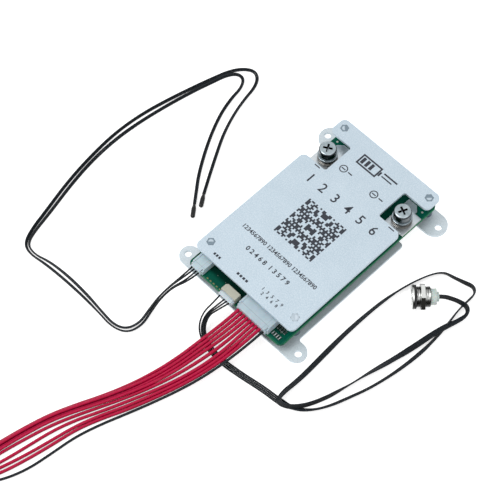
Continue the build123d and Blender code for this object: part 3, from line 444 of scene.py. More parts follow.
# Balance wires: from the plug to a tie, then one turn of a put-away coil. The red ones are drawn thicker than their
# declared diameter, most of all at the plug, and are lifted to suit
balance = {
    "diameter": 1.3,
    "skins": {"red": 1.6, "black": 1.3},
    "swells": {"red": (1.12, 0.98, 8), "black": (1.0, 1.0, 1)},
    "skinLift": 0.16,
    "liftBelow": 9.0,
    "floorGap": 0.05,
    "plugFace": (-54.6, 10.0),
    "pitch": 1.4,
    "rise": 1.25,
    "plugX": 4.85,
    "plugPitch": 2.0,
    "neckX": -24.0,
    "neckEnd": -207.0,
    "coilY": -212.0,
    "coilRadius": 26.0,
    "turnStep": 8.8,
    "tailAngle": 70.0,
    "neckLift": 1.0,
    "length": 0.335,
    "lengthStep": 0.0052,
}
balanceRoutes = [
    [(4.85, -60.2, 10.0), (3.6, -68.5, 7.6), (2.2, -77.2, 5.6), (0.2, -91.3, 3.4), (-3.0, -104.3, 1.6),
     (-6.9, -116.5, 0.8), (-11.4, -128.0, 0.7), (-16.4, -138.9, 0.7), (-20.9, -150.2, 0.7), (-24.1, -162.4, 0.7),
     (-26.7, -175.1, 0.7), (-28.3, -184.6, 0.7)],
    [(6.85, -60.4, 10.0), (5.4, -69.5, 7.4), (3.9, -78.8, 5.6), (1.7, -92.7, 3.6), (-1.6, -105.5, 2.2),
     (-5.6, -117.2, 2.0), (-10.4, -128.8, 1.95), (-15.4, -139.7, 1.95), (-20.0, -150.8, 1.95),
     (-23.2, -163.2, 1.95), (-25.7, -176.2, 1.95), (-27.1, -185.0, 1.95)],
    [(8.85, -60.5, 10.0), (7.3, -70.2, 7.4), (5.5, -80.2, 5.6), (3.1, -94.0, 3.4), (-0.4, -106.5, 1.6),
     (-4.6, -117.9, 0.8), (-9.4, -129.3, 0.7), (-14.5, -140.2, 0.7), (-19.1, -151.4, 0.7), (-22.2, -163.9, 0.7),
     (-24.7, -176.8, 0.7), (-25.9, -185.4, 0.7)],
    [(10.85, -60.8, 10.0), (9.2, -71.0, 7.3), (7.1, -81.8, 5.6), (4.6, -95.2, 3.6), (0.8, -107.4, 2.2),
     (-3.5, -118.8, 2.0), (-8.3, -130.2, 1.95), (-13.4, -141.1, 1.95), (-17.9, -152.3, 1.95),
     (-21.0, -164.8, 1.95), (-23.5, -177.6, 1.95), (-24.6, -185.8, 1.95)],
    [(12.85, -61.5, 10.0), (11.5, -72.5, 7.2), (9.5, -84.0, 5.4), (6.2, -96.6, 3.3), (2.0, -108.4, 1.6),
     (-2.6, -119.9, 0.8), (-7.3, -130.9, 0.7), (-12.2, -142.1, 0.7), (-16.5, -153.5, 0.7), (-19.6, -165.7, 0.7),
     (-22.4, -178.4, 0.7), (-23.4, -186.2, 0.7)],
    [(14.85, -62.0, 10.0), (14.0, -74.0, 7.0), (11.9, -86.2, 5.2), (8.2, -98.5, 3.2), (3.7, -109.8, 1.6),
     (-1.0, -121.3, 0.8), (-5.6, -132.6, 0.7), (-10.5, -143.6, 0.7), (-14.2, -155.6, 0.7), (-16.4, -168.6, 0.7),
     (-19.0, -181.7, 0.7)],
    [(16.85, -62.5, 10.0), (15.7, -75.0, 6.9), (13.4, -87.2, 5.1), (9.7, -99.4, 3.2), (5.1, -111.2, 1.6),
     (0.6, -122.8, 0.8), (-4.2, -133.8, 0.7), (-8.3, -145.5, 0.7), (-10.8, -158.0, 0.7), (-13.5, -170.6, 0.7),
     (-16.9, -183.0, 0.7)],
    [(18.85, -62.5, 10.0), (17.2, -75.5, 6.8), (14.8, -88.2, 5.0), (11.1, -100.3, 3.2), (6.6, -112.2, 1.6),
     (2.1, -123.8, 0.8), (-2.8, -134.8, 0.7), (-6.8, -146.4, 0.7), (-8.9, -159.0, 0.7), (-11.6, -172.2, 0.7),
     (-14.9, -184.6, 0.7)],
    [(20.85, -62.8, 10.0), (18.8, -76.0, 6.7), (16.3, -89.2, 5.0), (12.6, -101.3, 3.2), (8.1, -113.3, 1.6),
     (3.6, -125.1, 0.8), (-0.9, -137.0, 0.7), (-4.4, -149.2, 0.7), (-5.9, -162.0, 0.7), (-7.7, -174.6, 0.7),
     (-11.8, -185.8, 0.7)],
]


def balanceRoute(index):
    across = (index - 4) * balance["pitch"] / 2
    low = balance["diameter"] / 2 + balance["floorGap"]
    height = low + (balance["rise"] if index % 2 else 0)
    points = [(balance["plugX"] + balance["plugPitch"] * index, *balance["plugFace"])] + balanceRoutes[index]
    # places, spread and lift where the wires come together at the tie
    gather = [(-194.0, 2.3, 0.0), (-199.5, 1.5, 0.8), (balance["neckEnd"] + 3.6, 1.0, 1.0),
              (balance["neckEnd"], 1.0, 1.0)]
    for y, spread, lift in gather:
        z = low + (height - low) * max(lift, 0.25 if index < 5 else 0.2) + balance["neckLift"] * lift
        if index in (1, 3):
            z = height + balance["neckLift"] * lift
        points.append((balance["neckX"] + across * spread, y, z))
    # three stretches of the turn, as centre, radius and angles of the points
    radius = balance["coilRadius"]
    turnStep = balance["turnStep"] / 2
    rings = [
        (balance["neckX"] - radius, radius, range(-15, -180, -30)),
        (balance["neckX"] - radius - turnStep, radius - turnStep, range(165, 0, -30)),
        (balance["neckX"] - radius, radius - 2 * turnStep, (-12, -35, -58, -balance["tailAngle"])),
    ]
    for x, ring, angles in rings:
        for angle in angles:
            # a control point stands outside the ring by the half angle between points
            stretch = (ring + across) / math.cos(math.radians(15 if ring > 18 else 12))
            if angle == -balance["tailAngle"]:
                stretch = ring + across
            lift = balance["neckLift"] * 0.6 if len(points) == len(balanceRoutes[index]) + 5 else 0.0
            points.append((x + stretch * math.cos(math.radians(angle)),
                           balance["coilY"] + stretch * math.sin(math.radians(angle)), height + lift))
    return [(x, y, z + balance["skinLift"] if z < balance["liftBelow"] else z) for x, y, z in points]


# Stripped end of a wire: seven tinned strands with a slight lay, in millimetres
stripped = {
    "length": 4.5,
    "strands": 7,
    "rows": 9,
    "sides": 6,
    "ring": 0.26,
    "draw": 0.15,
    "strand": 0.13,
    "end": 0.07,
    "overlap": 0.5,
}


def strippedEnd(name, start, ahead):
    across = Vector((0, 0, 1)).cross(ahead).normalized()
    over = ahead.cross(across)
    mesh = bmesh.new()
    length = stripped["length"] * mm
    outer = stripped["strands"] - 1
    lastRow = stripped["rows"] - 1
    sides = stripped["sides"]
    for strand in range(stripped["strands"]):
        rings = []
        for row in range(stripped["rows"]):
            share = row / lastRow
            lay = 2 * math.pi * (strand / outer + share * 0.5)
            reach = 0 if strand == outer else stripped["ring"] * mm * (1 - stripped["draw"] * share)
            centre = start + ahead * (length * share) + (across * math.cos(lay) + over * math.sin(lay)) * reach
            radius = (stripped["strand"] if row < lastRow else stripped["end"]) * mm
            rings.append([mesh.verts.new(centre + (across * math.cos(a) + over * math.sin(a)) * radius)
                          for a in [2 * math.pi * side / sides for side in range(sides)]])
        for low, high in zip(rings, rings[1:]):
            for side in range(sides):
                after = (side + 1) % sides
                mesh.faces.new((low[side], low[after], high[after], high[side]))
        mesh.faces.new(rings[-1])
    data = bpy.data.meshes.new(name)
    mesh.to_mesh(data)
    mesh.free()
    return link(name, data, "board", tinSkin)


for index in range(9):
    number = index + 1
    route = balanceRoute(index)
    name = f"cell_wire_{number}"
    colour = "black" if index == 8 else "red"
    curve = laidCurve(name, route, balance["skins"][colour], balance["swells"][colour])
    wire = link(name, curve, "board", blackSkin if colour == "black" else redSkin)
    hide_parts(f"balance_wire_{number}", "balance_coil")
    last = (Vector(route[-1]) - Vector(route[-2])).normalized()
    tip = strippedEnd(f"wire_tip_{number}", Vector(route[-1]) * mm - last * stripped["overlap"] * mm, last)
    [c * mm for c in route[0]]
print("cords laid")


# Floor, world and lamps, in metres: a white studio table under soft light
room = {
    "tableHalf": 6.0,
    "tableDrop": 0.00005,
    "tableColour": 0.86,
    "tableGlow": 0.62,
    "skyDim": 0.62,
    "aim": (-0.01, -0.03, 0.0),
    "lamps": {
        "keyLamp": {"place": (-0.55, -0.75, 1.5), "power": 12.0, "size": 0.9},
        "fillLamp": {"place": (1.1, -0.3, 1.2), "power": 5.0, "size": 1.2},
    },
}


def studio():
    floor = bpy.data.meshes.new("table")
    side = room["tableHalf"]
    corners = ((-side, -side), (side, -side), (side, side), (-side, side))
    floor.from_pydata([(x, y, -room["tableDrop"]) for x, y in corners], [], [(0, 1, 2, 3)])
    table = bpy.data.objects.new("table", floor)
    scene.collection.objects.link(table)
    shade = Shade("tableWhite", Roughness=0.9, Emission_Strength=1.0)
    shade.feed("Specular IOR Level", 0.0)
    shade.feed("Base Color", (*[room["tableColour"]] * 3, 1))
    # the glow is seen by the camera and in reflections only, so that the table keeps its shadow
    rayKinds = ("Is Camera Ray", "Is Glossy Ray", "Is Transmission Ray")
    rays = [shade.add("ShaderNodeLightPath", output=key) for key in rayKinds]
    seen = (rays[0] + rays[1] + rays[2]).within()
    shade.feed("Emission Color", shade.mix(seen, (0, 0, 0, 1), (*[room["tableGlow"]] * 3, 1)))
    floor.materials.append(shade.material)

    world = bpy.data.worlds.new("studioSky")
    world.use_nodes = True
    tree = world.node_tree
    sky = tree.nodes["Background"]
    path = tree.nodes.new("ShaderNodeLightPath")
    total = path.outputs[rayKinds[0]]
    for key in rayKinds[1:]:
        more = tree.nodes.new("ShaderNodeMath")
        more.operation = "ADD"
        more.use_clamp = True
        tree.links.new(total, more.inputs[0])
        tree.links.new(path.outputs[key], more.inputs[1])
        total = more.outputs[0]
    strength = tree.nodes.new("ShaderNodeMapRange")
    tree.links.new(total, strength.inputs["Value"])
    strength.inputs["To Min"].default_value = room["skyDim"]
    strength.inputs["To Max"].default_value = 1.0
    tree.links.new(strength.outputs[0], sky.inputs["Strength"])
    sky.inputs["Color"].default_value = (1, 1, 1, 1)
    scene.world = world

    for name, lamp in room["lamps"].items():
        light = bpy.data.lights.new(name, "AREA")
        light.energy = lamp["power"]
        light.size = lamp["size"]
        source = bpy.data.objects.new(name, light)
        aim = Vector(room["aim"]) - Vector(lamp["place"])
        facing = aim.to_track_quat("-Z", "Y").to_matrix().to_4x4()
        source.matrix_world = Matrix.Translation(lamp["place"]) @ facing
        scene.collection.objects.link(source)


studio()
scene.view_settings.view_transform = "Standard"
print("studio set")

# Sheet sizes that the finishes repeat from the part, in millimetres
board = {"half": 31.2, "near": -53.5, "far": 53.5}
cover = {"top": 15.9}
terminal = {"x": 25.0, "y": 34.85}
standoff = {"x": 28.2, "middle": 4.635, "half": 45.365}


# Anodised sheet: fine pale speckle, broad clouds and faint rub lines
def anodisedSheet(name, dark, light):
    shade = Shade(name, Metallic=0.6)
    grain = shade.noise(0.55, 2.5)
    cloud = shade.noise(14.0, 4.0)
    rub = shade.noise(0.6, 3.0, stretch=(0.06, 1.0, 1.0))
    colour = shade.mix(cloud, tone(*dark), tone(*light))
    speckle = ((grain - 0.5) * 3.4 + 0.35).within()
    shade.feed("Base Color", shade.mix(speckle * 0.5, colour, tone(226, 232, 238)))
    shade.feed("Roughness", 0.46 + grain * 0.12 + rub * 0.06)
    shade.bump(grain + rub * 0.4, 0.012, 0.8)
    return shade


# Circuit board: green resist over copper areas
def solderResist():
    shade = Shade("solderResist", Coat_Weight=0.02, Coat_Roughness=0.12, Specular_IOR_Level=0.06)
    x, y, z = shade.axes()
    weave = shade.noise(0.5, 2.0)
    cloud = shade.noise(7.0, 2.0)
    green = shade.mix(cloud, tone(0, 66, 54), tone(0, 88, 70))
    copper = shade.add("ShaderNodeTexBrick", {"offset": 0.35, "squash": 1.0}, {
        "Vector": shade.place(), "Scale": 0.22, "Color1": (1, 1, 1, 1), "Color2": (0, 0, 0, 1),
        "Mortar": (0.4, 0.4, 0.4, 1), "Mortar Size": 0.06}, "Color")
    lighter = shade.add("ShaderNodeRGBToBW", None, [copper])
    green = shade.mix(lighter * 0.3, green, tone(10, 104, 78))
    # darker where the cover's edge hangs over the board and would shade it
    shaded = shade.patch(x, y, (-4.0, -45.6), (board["half"], 3.4), 2.0)
    green = shade.mix(shaded * 0.8, green, tone(2, 26, 20))
    # pale line along the board's edge
    rim = (board["half"] - 0.5 - x.size()).least(y - board["near"] - 0.5).least(board["far"] - 0.5 - y)
    green = shade.mix((0.5 - rim.size() * 4).within(), green, tone(74, 150, 116))
    # bare pads in a row at the near edge, and via dots
    pads = shade.patch((x + 14.2).repeated(2.1), y, (0.0, -52.7), (0.5, 0.3)) * \
        shade.patch(x, y, (-14.2, -52.7), (5.2, 1.0))
    dots = shade.spot(x.size(), y, (28.6, 45.5), 0.55)
    dots = dots.most(shade.spot(x.repeated(5.3), y, (0.0, -48.3), 0.16) * 0.5)
    gold = pads.most(dots)
    colour = shade.mix(pads * 0.7, green, tone(150, 140, 96))
    colour = shade.mix(dots, colour, tone(206, 206, 196))
    # cut edge of the laminate
    edge = (x.size() - board["half"] + 0.06).most(board["near"] + 0.06 - y).most(y - board["far"] + 0.06)
    edge = (edge * 30).within()
    colour = shade.mix(edge, colour, shade.mix(weave, tone(16, 92, 62), tone(66, 146, 104)))
    shade.feed("Base Color", colour)
    shade.feed("Metallic", gold * 0.8)
    shade.feed("Roughness", 0.3 + weave * 0.1 + edge * 0.3)
    shade.bump(weave * 0.3 + lighter * 0.5 + gold, 0.03)
    return shade


# Plated metal. With shadow, dark bands are painted by the faces' direction, for the dark parts of a studio that a
# white room doesn't reflect: sky is the bright direction, and shine says where the bright band begins and is full
def plating(name, dark, light, rough, ringX=None, depth=0.012, shadow=None, sky=(0.0, 0.0, 1.0),
            shine=(0.92, 0.96), turned=None):
    shade = Shade(name, Metallic=1.0)
    cloud = shade.noise(2.2, 3.0)
    grain = shade.noise(0.14, 2.0)
    colour = shade.mix(cloud, tone(*dark), tone(*light))
    if shadow:
        depths = ((0.0, 0.5), (0.4, 0.6), (0.55, 0.95), (shine[0] - 0.08, 1.0), (shine[0], 0.25), (shine[1], 0.0))
        stops = [(place, (grey, grey, grey, 1)) for place, grey in depths]
        band = shade.add("ShaderNodeValToRGB", {"stops": stops}, [shade.looking(sky) * 0.5 + 0.5])
        band = shade.add("ShaderNodeRGBToBW", None, [band])
        if turned:
            # the flange's front face and its round stay brighter
            along = shade.add("ShaderNodeVectorMath", {"operation": "DOT_PRODUCT"}, [shade.place(), turned["axis"]],
                              "Value")
            reach = along - turned["front"]
            flange = ((1.25 - reach) * 8).within()
            ahead = shade.looking([-c for c in turned["axis"]])
            band = band * (1 - ((ahead - 0.2) * 3).within() * flange * 0.72)
        colour = shade.mix(band, colour, tone(*shadow))
    shade.feed("Base Color", colour)
    shade.feed("Roughness", rough + cloud * 0.1 + grain * 0.05)
    height = grain
    if ringX is not None:
        x, y, z = shade.axes()
        across = x.size() - ringX
        along = y - terminal["y"]
        rings = ((across * across + along * along).root() * 21).sine()
        height = grain + rings * 0.6
    shade.bump(height, depth)
    return shade


# Moulded plastic or rubber
def moulding(name, dark, light, rough, grainSize=0.2, **more):
    shade = Shade(name, **more)
    cloud = shade.noise(3.0, 2.0)
    grain = shade.noise(grainSize, 2.0)
    shade.feed("Base Color", shade.mix(cloud, tone(*dark), tone(*light)))
    shade.feed("Roughness", rough + (grain - 0.5) * 0.12)
    shade.bump(grain, 0.015)
    return shade


# Pale nylon plugs and headers: painted shade in a square opening round each wire at the front, and fine seams on
# top
def connectorNylon(name, first, pitch, count, front, dark, light, seamZ, seamY):
    shade = Shade(name, Subsurface_Weight=0.12, Subsurface_Scale=0.002)
    x, y, z = shade.axes()
    cloud = shade.noise(3.0, 2.0)
    grain = shade.noise(0.2, 2.0)
    colour = shade.mix(cloud, tone(*dark), tone(*light))
    middle = first + pitch * (count - 1) / 2
    fromFirst = (x - first).repeated(pitch)
    row = shade.patch(x, y, (middle, front), (pitch * count / 2, 0.3), 0.05)
    # painted shade: a dark square in the opening round each wire
    shadedOpening = shade.patch(fromFirst, z, (0.0, 10.0), (pitch * 0.38, pitch * 0.38 + 0.15), 0.05) * row
    seam = shade.patch(x, y, (middle, seamY), (pitch * count / 2 + 0.4, 0.09), 0.05)
    seam = seam * shade.patch(x, z, (middle, seamZ), (pitch * count / 2 + 1.0, 0.4), 0.05)
    colour = shade.mix(shadedOpening, colour, tone(26, 24, 26))
    reach = pitch * (count - 1) / 2
    step = shade.patch(x, y, (middle + reach - 0.6, front + 3.0), (0.09, 4.6), 0.06)
    step = step.most(shade.patch(x, y, (middle - reach - 0.5, front + 3.0), (0.07, 4.6), 0.06))
    colour = shade.mix((seam + step * 0.7).within() * 0.6, colour, tone(120, 130, 140))
    shade.feed("Base Color", colour)
    shade.feed("Roughness", 0.42 + (grain - 0.5) * 0.12)
    shade.bump(grain * 0.3 - seam - shadedOpening, 0.03)
    return shade


# Dark component bodies, with pale pins and ends on the small parts at the board's near right corner
def componentFinish():
    shade = Shade("componentBodies")
    x, y, z = shade.axes()
    grain = shade.noise(0.15, 2.0)
    body = shade.mix(grain, tone(12, 34, 30), tone(28, 50, 46))
    fromChip = (x - 24.0).repeated(1.4)
    pins = shade.patch(x, y, (26.1, -50.8), (3.2, 1.4)) * shade.patch(fromChip, y, (0.0, -50.8), (0.1, 0.6))
    body = shade.mix(pins, body, shade.mix(grain, tone(232, 236, 240), tone(250, 252, 254)))
    ends = ((y + 50.8).size().least((y + 47.0).size()) - 0.62)
    ends = (ends * 20).within() * shade.patch(x, y, (26.1, -49.0), (3.4, 3.4))
    colour = shade.mix(ends * 0.3, body, tone(206, 212, 210))
    shade.feed("Base Color", colour)
    shade.feed("Metallic", ends * 0.7)
    shade.feed("Roughness", 0.5 - ends * 0.2 + grain * 0.1)
    shade.bump(grain, 0.02)
    return shade


# Shunt alloy between tinned feet
def shuntFinish():
    shade = Shade("shuntAlloy", Metallic=0.9)
    x, y, z = shade.axes()
    grain = shade.noise(0.2, 2.0, stretch=(0.2, 1.0, 1.0))
    feet = ((x.size() - 3.6) * 12).within()
    shade.feed("Base Color", shade.mix(feet, tone(128, 118, 108), tone(206, 204, 200)))
    shade.feed("Roughness", 0.42 + grain * 0.15)
    shade.bump(grain, 0.02)
    return shade


coverFinish = anodisedSheet("coverAnodised", (176, 194, 206), (192, 208, 219))
baseFinish = anodisedSheet("baseAnodised", (190, 202, 208), (206, 217, 223))


# Pressed standoff heads: a painted glint in the middle inside a hexagon with a dark outline
def standoffHead(name, rim, middle):
    shade = Shade(name, Metallic=0.75)
    x, y, z = shade.axes()
    grain = shade.noise(0.4, 2.0)
    across = x.size() - standoff["x"]
    along = (y - standoff["middle"]).size() - standoff["half"]
    reach = (across * across + along * along).root()
    inner = ((1.3 - reach) * 5 + 0.5).within()
    # painted glint: diagonal bright bands across the head's middle
    paintedGlint = (((across - along) * 1.4).sine() * 1.6 + 0.5).within()
    body = shade.mix(inner * paintedGlint, shade.mix(grain * 0.5, tone(*rim), tone(*middle)), tone(*middle))
    outline = ((reach - 1.9) * 6).within()
    shade.feed("Base Color", shade.mix(outline * 0.8, body, tone(70, 84, 94)))
    shade.feed("Roughness", 0.3 + grain * 0.1)
    shade.bump(inner + grain * 0.2, 0.03)
    return shade


hexFinish = standoffHead("standoffHead", (92, 112, 126), (190, 204, 214))
flushFinish = standoffHead("flushHead", (176, 190, 200), (204, 216, 226))
boardFinish = solderResist()
tinFinish = plating("tinPlate", (196, 204, 208), (222, 228, 232), 0.28, shadow=(132, 136, 128))
steelFinish = plating("zincPlate", (136, 150, 156), (190, 202, 208), 0.16, ringX=terminal["x"],
                      shadow=(54, 57, 61))
brassFinish = plating("tinnedPost", (120, 120, 118), (156, 156, 152), 0.22, shadow=(58, 58, 58))
screwFinish = plating("baseScrewPlate", (150, 152, 156), (190, 192, 196), 0.3)
balanceNylon = connectorNylon("balanceNylon", 4.85, 2.0, 9, -54.6, (165, 184, 194), (186, 203, 212), 12.7, -51.6)
sensorNylon = connectorNylon("sensorNylon", -27.1, 1.5, 4, -54.6, (174, 195, 203), (195, 213, 220), 11.8, -51.6)
buttonNylon = connectorNylon("buttonNylon", -6.85, 1.5, 5, -55.6, (190, 204, 212), (208, 220, 227), 11.0, -53.4)
beigeNylon = moulding("beigeNylon", (168, 169, 154), (190, 190, 175), 0.38)
tieNylon = moulding("tieNylon", (222, 222, 216), (236, 236, 230), 0.38, Subsurface_Weight=0.2,
                    Subsurface_Scale=0.002)
epoxyBlack = moulding("dippedEpoxy", (4, 6, 7), (12, 14, 16), 0.16, 0.8, Specular_IOR_Level=0.3, Coat_Weight=0.1,
                      Coat_Roughness=0.06)
nickelFinish = plating("turnedNickel", (214, 216, 214), (238, 240, 238), 0.12, depth=0.001, shadow=(30, 29, 27),
                       sky=(0.186, -0.180, 0.966), shine=(0.965, 0.985),
                       turned={"axis": (0.696, 0.718, 0.0), "front": 45.23})
springFinish = plating("springWire", (170, 172, 176), (204, 206, 208), 0.25)
rubberBlack = moulding("gasketRubber", (20, 20, 21), (36, 36, 37), 0.75, 0.3)
clearMoulding = moulding("clearMoulding", (192, 208, 203), (214, 227, 222), 0.3, 0.6, Transmission_Weight=0.15,
                         Subsurface_Weight=0.15, Subsurface_Scale=0.002)
siliconePad = moulding("siliconePad", (132, 136, 142), (150, 154, 160), 0.8, 0.4)
componentBodies = componentFinish()
shuntAlloy = shuntFinish()

looks = {
    coverFinish: ["cover_plate"],
    baseFinish: ["base_plate"],
    hexFinish: [f"cover_standoff_{i}" for i in (1, 3, 4)] + [f"board_spacer_{i}" for i in (1, 2, 3, 4)],
    flushFinish: ["cover_standoff_2"],
    boardFinish: ["circuit_board"],
    tinFinish: ["terminal_plate_left", "terminal_plate_right"],
    brassFinish: ["terminal_post_left", "terminal_post_right"],
    steelFinish: [f"{kind}_{side}" for kind in ("flat_washer", "spring_washer", "terminal_screw")
                  for side in ("left", "right")],
    screwFinish: ["base_screws"],
    balanceNylon: ["balance_header", "balance_plug"],
    sensorNylon: ["sensor_header", "sensor_plug"],
    buttonNylon: ["button_plug"],
    beigeNylon: ["button_header"],
    redSkin: ["balance_coil"] + [f"balance_wire_{i}" for i in range(1, 9)],
    blackSkin: ["balance_wire_9", "sensor_lead_1", "sensor_lead_2", "button_ribbon"],
    tieNylon: ["cable_tie"],
    epoxyBlack: ["sensor_bead_1", "sensor_bead_2"],
    nickelFinish: ["button_body", "button_cap", "button_nut"],
    springFinish: ["button_spring"],
    rubberBlack: ["button_gasket"],
    clearMoulding: ["button_rear_block"],
    siliconePad: ["thermal_pad"],
    shuntAlloy: ["shunt_resistors"],
    componentBodies: ["power_transistors", "controller_chip", "monitor_chip", "wireless_module", "power_inductor",
                      "balance_capacitors", "chip_parts"],
}
for shade, names in looks.items():
    for name in names:
        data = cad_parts[name].data
        data.materials.clear()
        data.materials.append(shade.material)
plain = [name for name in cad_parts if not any(name in names for names in looks.values())]
print("nodes without a finish:", plain)

# Small rounds where real edges catch the light, in millimetres
edgeRounds = {
    "base_plate": 0.18, "cover_plate": 0.18, "circuit_board": 0.08, "terminal_plate_left": 0.15,
    "terminal_plate_right": 0.15, "terminal_post_left": 0.2, "terminal_post_right": 0.2,
    "flat_washer_left": 0.15, "flat_washer_right": 0.15, "spring_washer_left": 0.15, "spring_washer_right": 0.15,
    "balance_header": 0.15, "balance_plug": 0.15, "sensor_header": 0.15, "sensor_plug": 0.15,
    "button_header": 0.15, "button_plug": 0.12, "cable_tie": 0.2, "button_nut": 0.25, "button_gasket": 0.15,
    "button_rear_block": 0.3, "chip_parts": 0.08,
}
for name, width in edgeRounds.items():
    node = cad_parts[name]
    weld = node.modifiers.new("weld", "WELD")
    weld.merge_threshold = 0.000002
    rounding = node.modifiers.new("edgeRound", "BEVEL")
    rounding.width = width * mm
    rounding.segments = 2
    rounding.limit_method = "ANGLE"
    rounding.angle_limit = math.radians(50)
print("finishes set")

# Push button: turned body with a real thread, in place of the plain barrel
button = {
    "front": (55.6, 9.1, 6.0),
    "heading": 45.9,
    "threadStart": 1.5,
    "threadEnd": 8.7,
    "pitch": 0.75,
    "depth": 0.2,
    "crest": 4.95,
    "fade": 0.4,
    "threadRows": 56,
    "segments": 72,
    # radius and reach from the front, from the stem's bore round the flange to the barrel, and at the rear
    "flange": (
        (1.65, 5.0), (4.05, 5.0), (4.05, 0.2), (4.15, 0.05), (4.35, 0.0), (5.55, 0.0), (5.8, 0.08), (5.95, 0.22),
        (6.0, 0.42), (6.0, 0.95), (5.93, 1.14), (5.75, 1.27), (5.6, 1.3), (4.95, 1.3)),
    "rear": ((4.7, 8.9), (3.6, 8.9), (3.6, 6.2), (1.65, 6.2)),
}


# A closed section turned round the button's axis. Each row gives a radius and a reach for an angle
def turnedPiece(name, rows, body, shade):
    heading = math.radians(button["heading"])
    axis = Vector((math.cos(heading), math.sin(heading), 0))
    side = Vector((math.sin(heading), -math.cos(heading), 0))
    mesh = bmesh.new()
    rings = []
    for row in rows:
        ring = []
        for step in range(button["segments"]):
            angle = 2 * math.pi * step / button["segments"]
            radius, reach = row(angle)
            out = side * math.cos(angle) + Vector((0, 0, 1)) * math.sin(angle)
            ring.append(mesh.verts.new((Vector(button["front"]) + axis * reach + out * radius) * mm))
        rings.append(ring)
    for low, high in zip(rings, rings[1:] + rings[:1]):
        for step in range(button["segments"]):
            after = (step + 1) % button["segments"]
            mesh.faces.new((low[step], low[after], high[after], high[step]))
    bmesh.ops.recalc_face_normals(mesh, faces=mesh.faces)
    data = bpy.data.meshes.new(name)
    mesh.to_mesh(data)
    mesh.free()
    for face in data.polygons:
        face.use_smooth = True
    piece = link(name, data, body, shade)
    data.set_sharp_from_angle(angle=math.radians(34))
    return piece


def fixedRow(radius, reach):
    return lambda angle: (radius, reach)


def threadRow(reach):
    def place(angle):
        turns = reach / button["pitch"] - angle / (2 * math.pi)
        share = abs((turns % 1.0) * 2 - 1) ** 2
        fade = min(1.0, (reach - button["threadStart"]) / button["fade"],
                   (button["threadEnd"] - reach) / button["fade"])
        return button["crest"] - button["depth"] * share * max(0.0, fade), reach
    return place


threadLength = button["threadEnd"] - button["threadStart"]
rows = [fixedRow(*row) for row in button["flange"]]
rows += [threadRow(button["threadStart"] + threadLength * i / button["threadRows"])
         for i in range(button["threadRows"] + 1)]
rows += [fixedRow(*row) for row in button["rear"]]
buttonBody = turnedPiece("threaded_button_body", rows, "board", nickelFinish)
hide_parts("button_body")
print("button body turned")


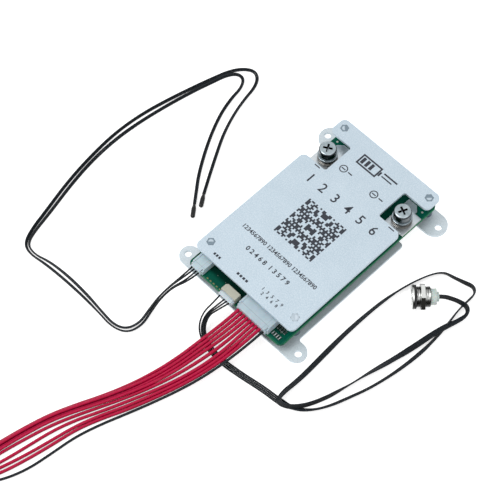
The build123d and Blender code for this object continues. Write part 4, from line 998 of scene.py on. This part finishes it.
# Marks printed on the cover: plain numerals, bars, rings and simple shapes
def coverPrint():
    mesh = bmesh.new()
    inkLift = 0.015
    top = (cover["top"] + inkLift) * mm

    def shape(points):
        mesh.faces.new([mesh.verts.new((x * mm, y * mm, top)) for x, y in points])

    def bar(x, y, width, height):
        shape([(x - width / 2, y - height / 2), (x + width / 2, y - height / 2),
               (x + width / 2, y + height / 2), (x - width / 2, y + height / 2)])

    def ring(x, y, outer, inner, sides=32):
        for i in range(sides):
            a, b = 2 * math.pi * i / sides, 2 * math.pi * (i + 1) / sides
            shape([(x + reach * math.cos(angle), y + reach * math.sin(angle))
                   for reach, angle in ((outer, a), (outer, b), (inner, b), (inner, a))])

    def frameBox(x, y, width, height, line):
        bar(x, y + height / 2 - line / 2, width, line)
        bar(x, y - height / 2 + line / 2, width, line)
        bar(x - width / 2 + line / 2, y, line, height - 2 * line)
        bar(x + width / 2 - line / 2, y, line, height - 2 * line)

    def numerals(words, x, y, size, spacing=1.0, weight=0.0):
        data = bpy.data.curves.new("numerals", "FONT")
        data.body = words
        data.align_x = "CENTER"
        data.align_y = "CENTER"
        data.size = size * mm
        data.space_character = spacing
        data.offset = weight * mm
        data.resolution_u = 2
        carrier = bpy.data.objects.new("numerals", data)
        scene.collection.objects.link(carrier)
        flat = bpy.data.meshes.new_from_object(carrier)
        flat.transform(Matrix.Translation((x * mm, y * mm, top)))
        mesh.from_mesh(flat)
        bpy.data.objects.remove(carrier)

    # battery pictogram with two bars beside it
    frameBox(-4.6, 42.9, 12.6, 6.6, 0.9)
    bar(2.3, 42.9, 1.0, 2.8)
    for x in (-8.6, -5.9, -3.2):
        bar(x, 42.9, 1.7, 3.8)
    bar(8.0, 44.6, 8.6, 0.9)
    bar(7.0, 42.6, 6.6, 0.7)
    # polarity marks at the two terminals
    ring(-12.2, 32.8, 2.2, 1.65)
    bar(-12.2, 32.8, 2.4, 0.6)
    bar(-7.9, 32.8, 2.6, 0.65)
    ring(8.2, 32.6, 2.2, 1.65)
    bar(8.2, 32.6, 2.4, 0.6)
    bar(12.6, 32.6, 2.6, 0.65)
    numerals("1 2 3 4 5 6", 1.0, 17.6, 7.4, 1.35, 0.07)
    # mosaic of squares, the same in its four quarters
    mosaic = {"x": 0.4, "y": -2.9, "side": 24.6}
    cells = 26
    cell = mosaic["side"] / cells
    for row in range(cells // 2):
        for column in range(cells // 2):
            filled = (row * 7 + column * 13 + row * column * 5 + row * row) % 11 < 6
            if not filled:
                continue
            for sideX in (-1, 1):
                for sideY in (-1, 1):
                    bar(mosaic["x"] + sideX * (column + 0.5) * cell, mosaic["y"] + sideY * (row + 0.5) * cell,
                        cell, cell)
    numerals("1234567890 1234567890 1234567890", 0.1, -23.4, 3.2, 0.98, 0.07)
    numerals("0 2 4 6 8  1 3 5 7 9", -0.2, -30.8, 3.6, 1.0, 0.09)
    # pin numbers and connector marks
    numerals("1 3 5 7 9", 13.3, -40.8, 2.4, 1.5, 0.05)
    numerals("2 4 6 8", 13.3, -42.9, 2.4, 1.5, 0.05)
    for x in (-22.2, -20.6, -19.0):
        bar(x, -43.9, 1.1, 1.3)
    for x in (-6.8, -4.9, -3.0, -1.1):
        bar(x, -43.5, 1.3, 1.3)
    bar(27.2, 24.6, 3.6, 0.6)
    bar(-22.2, 24.8, 3.4, 0.6)
    data = bpy.data.meshes.new("cover_marks")
    mesh.to_mesh(data)
    mesh.free()
    shade = Shade("printInk")
    wear = shade.noise(0.5, 3.0)
    shade.feed("Base Color", shade.mix(wear, tone(22, 26, 36), tone(46, 52, 64)))
    shade.feed("Roughness", 0.5 + wear * 0.15)
    return link("cover_marks", data, "board", shade)


coverPrint()
print("cover printed")
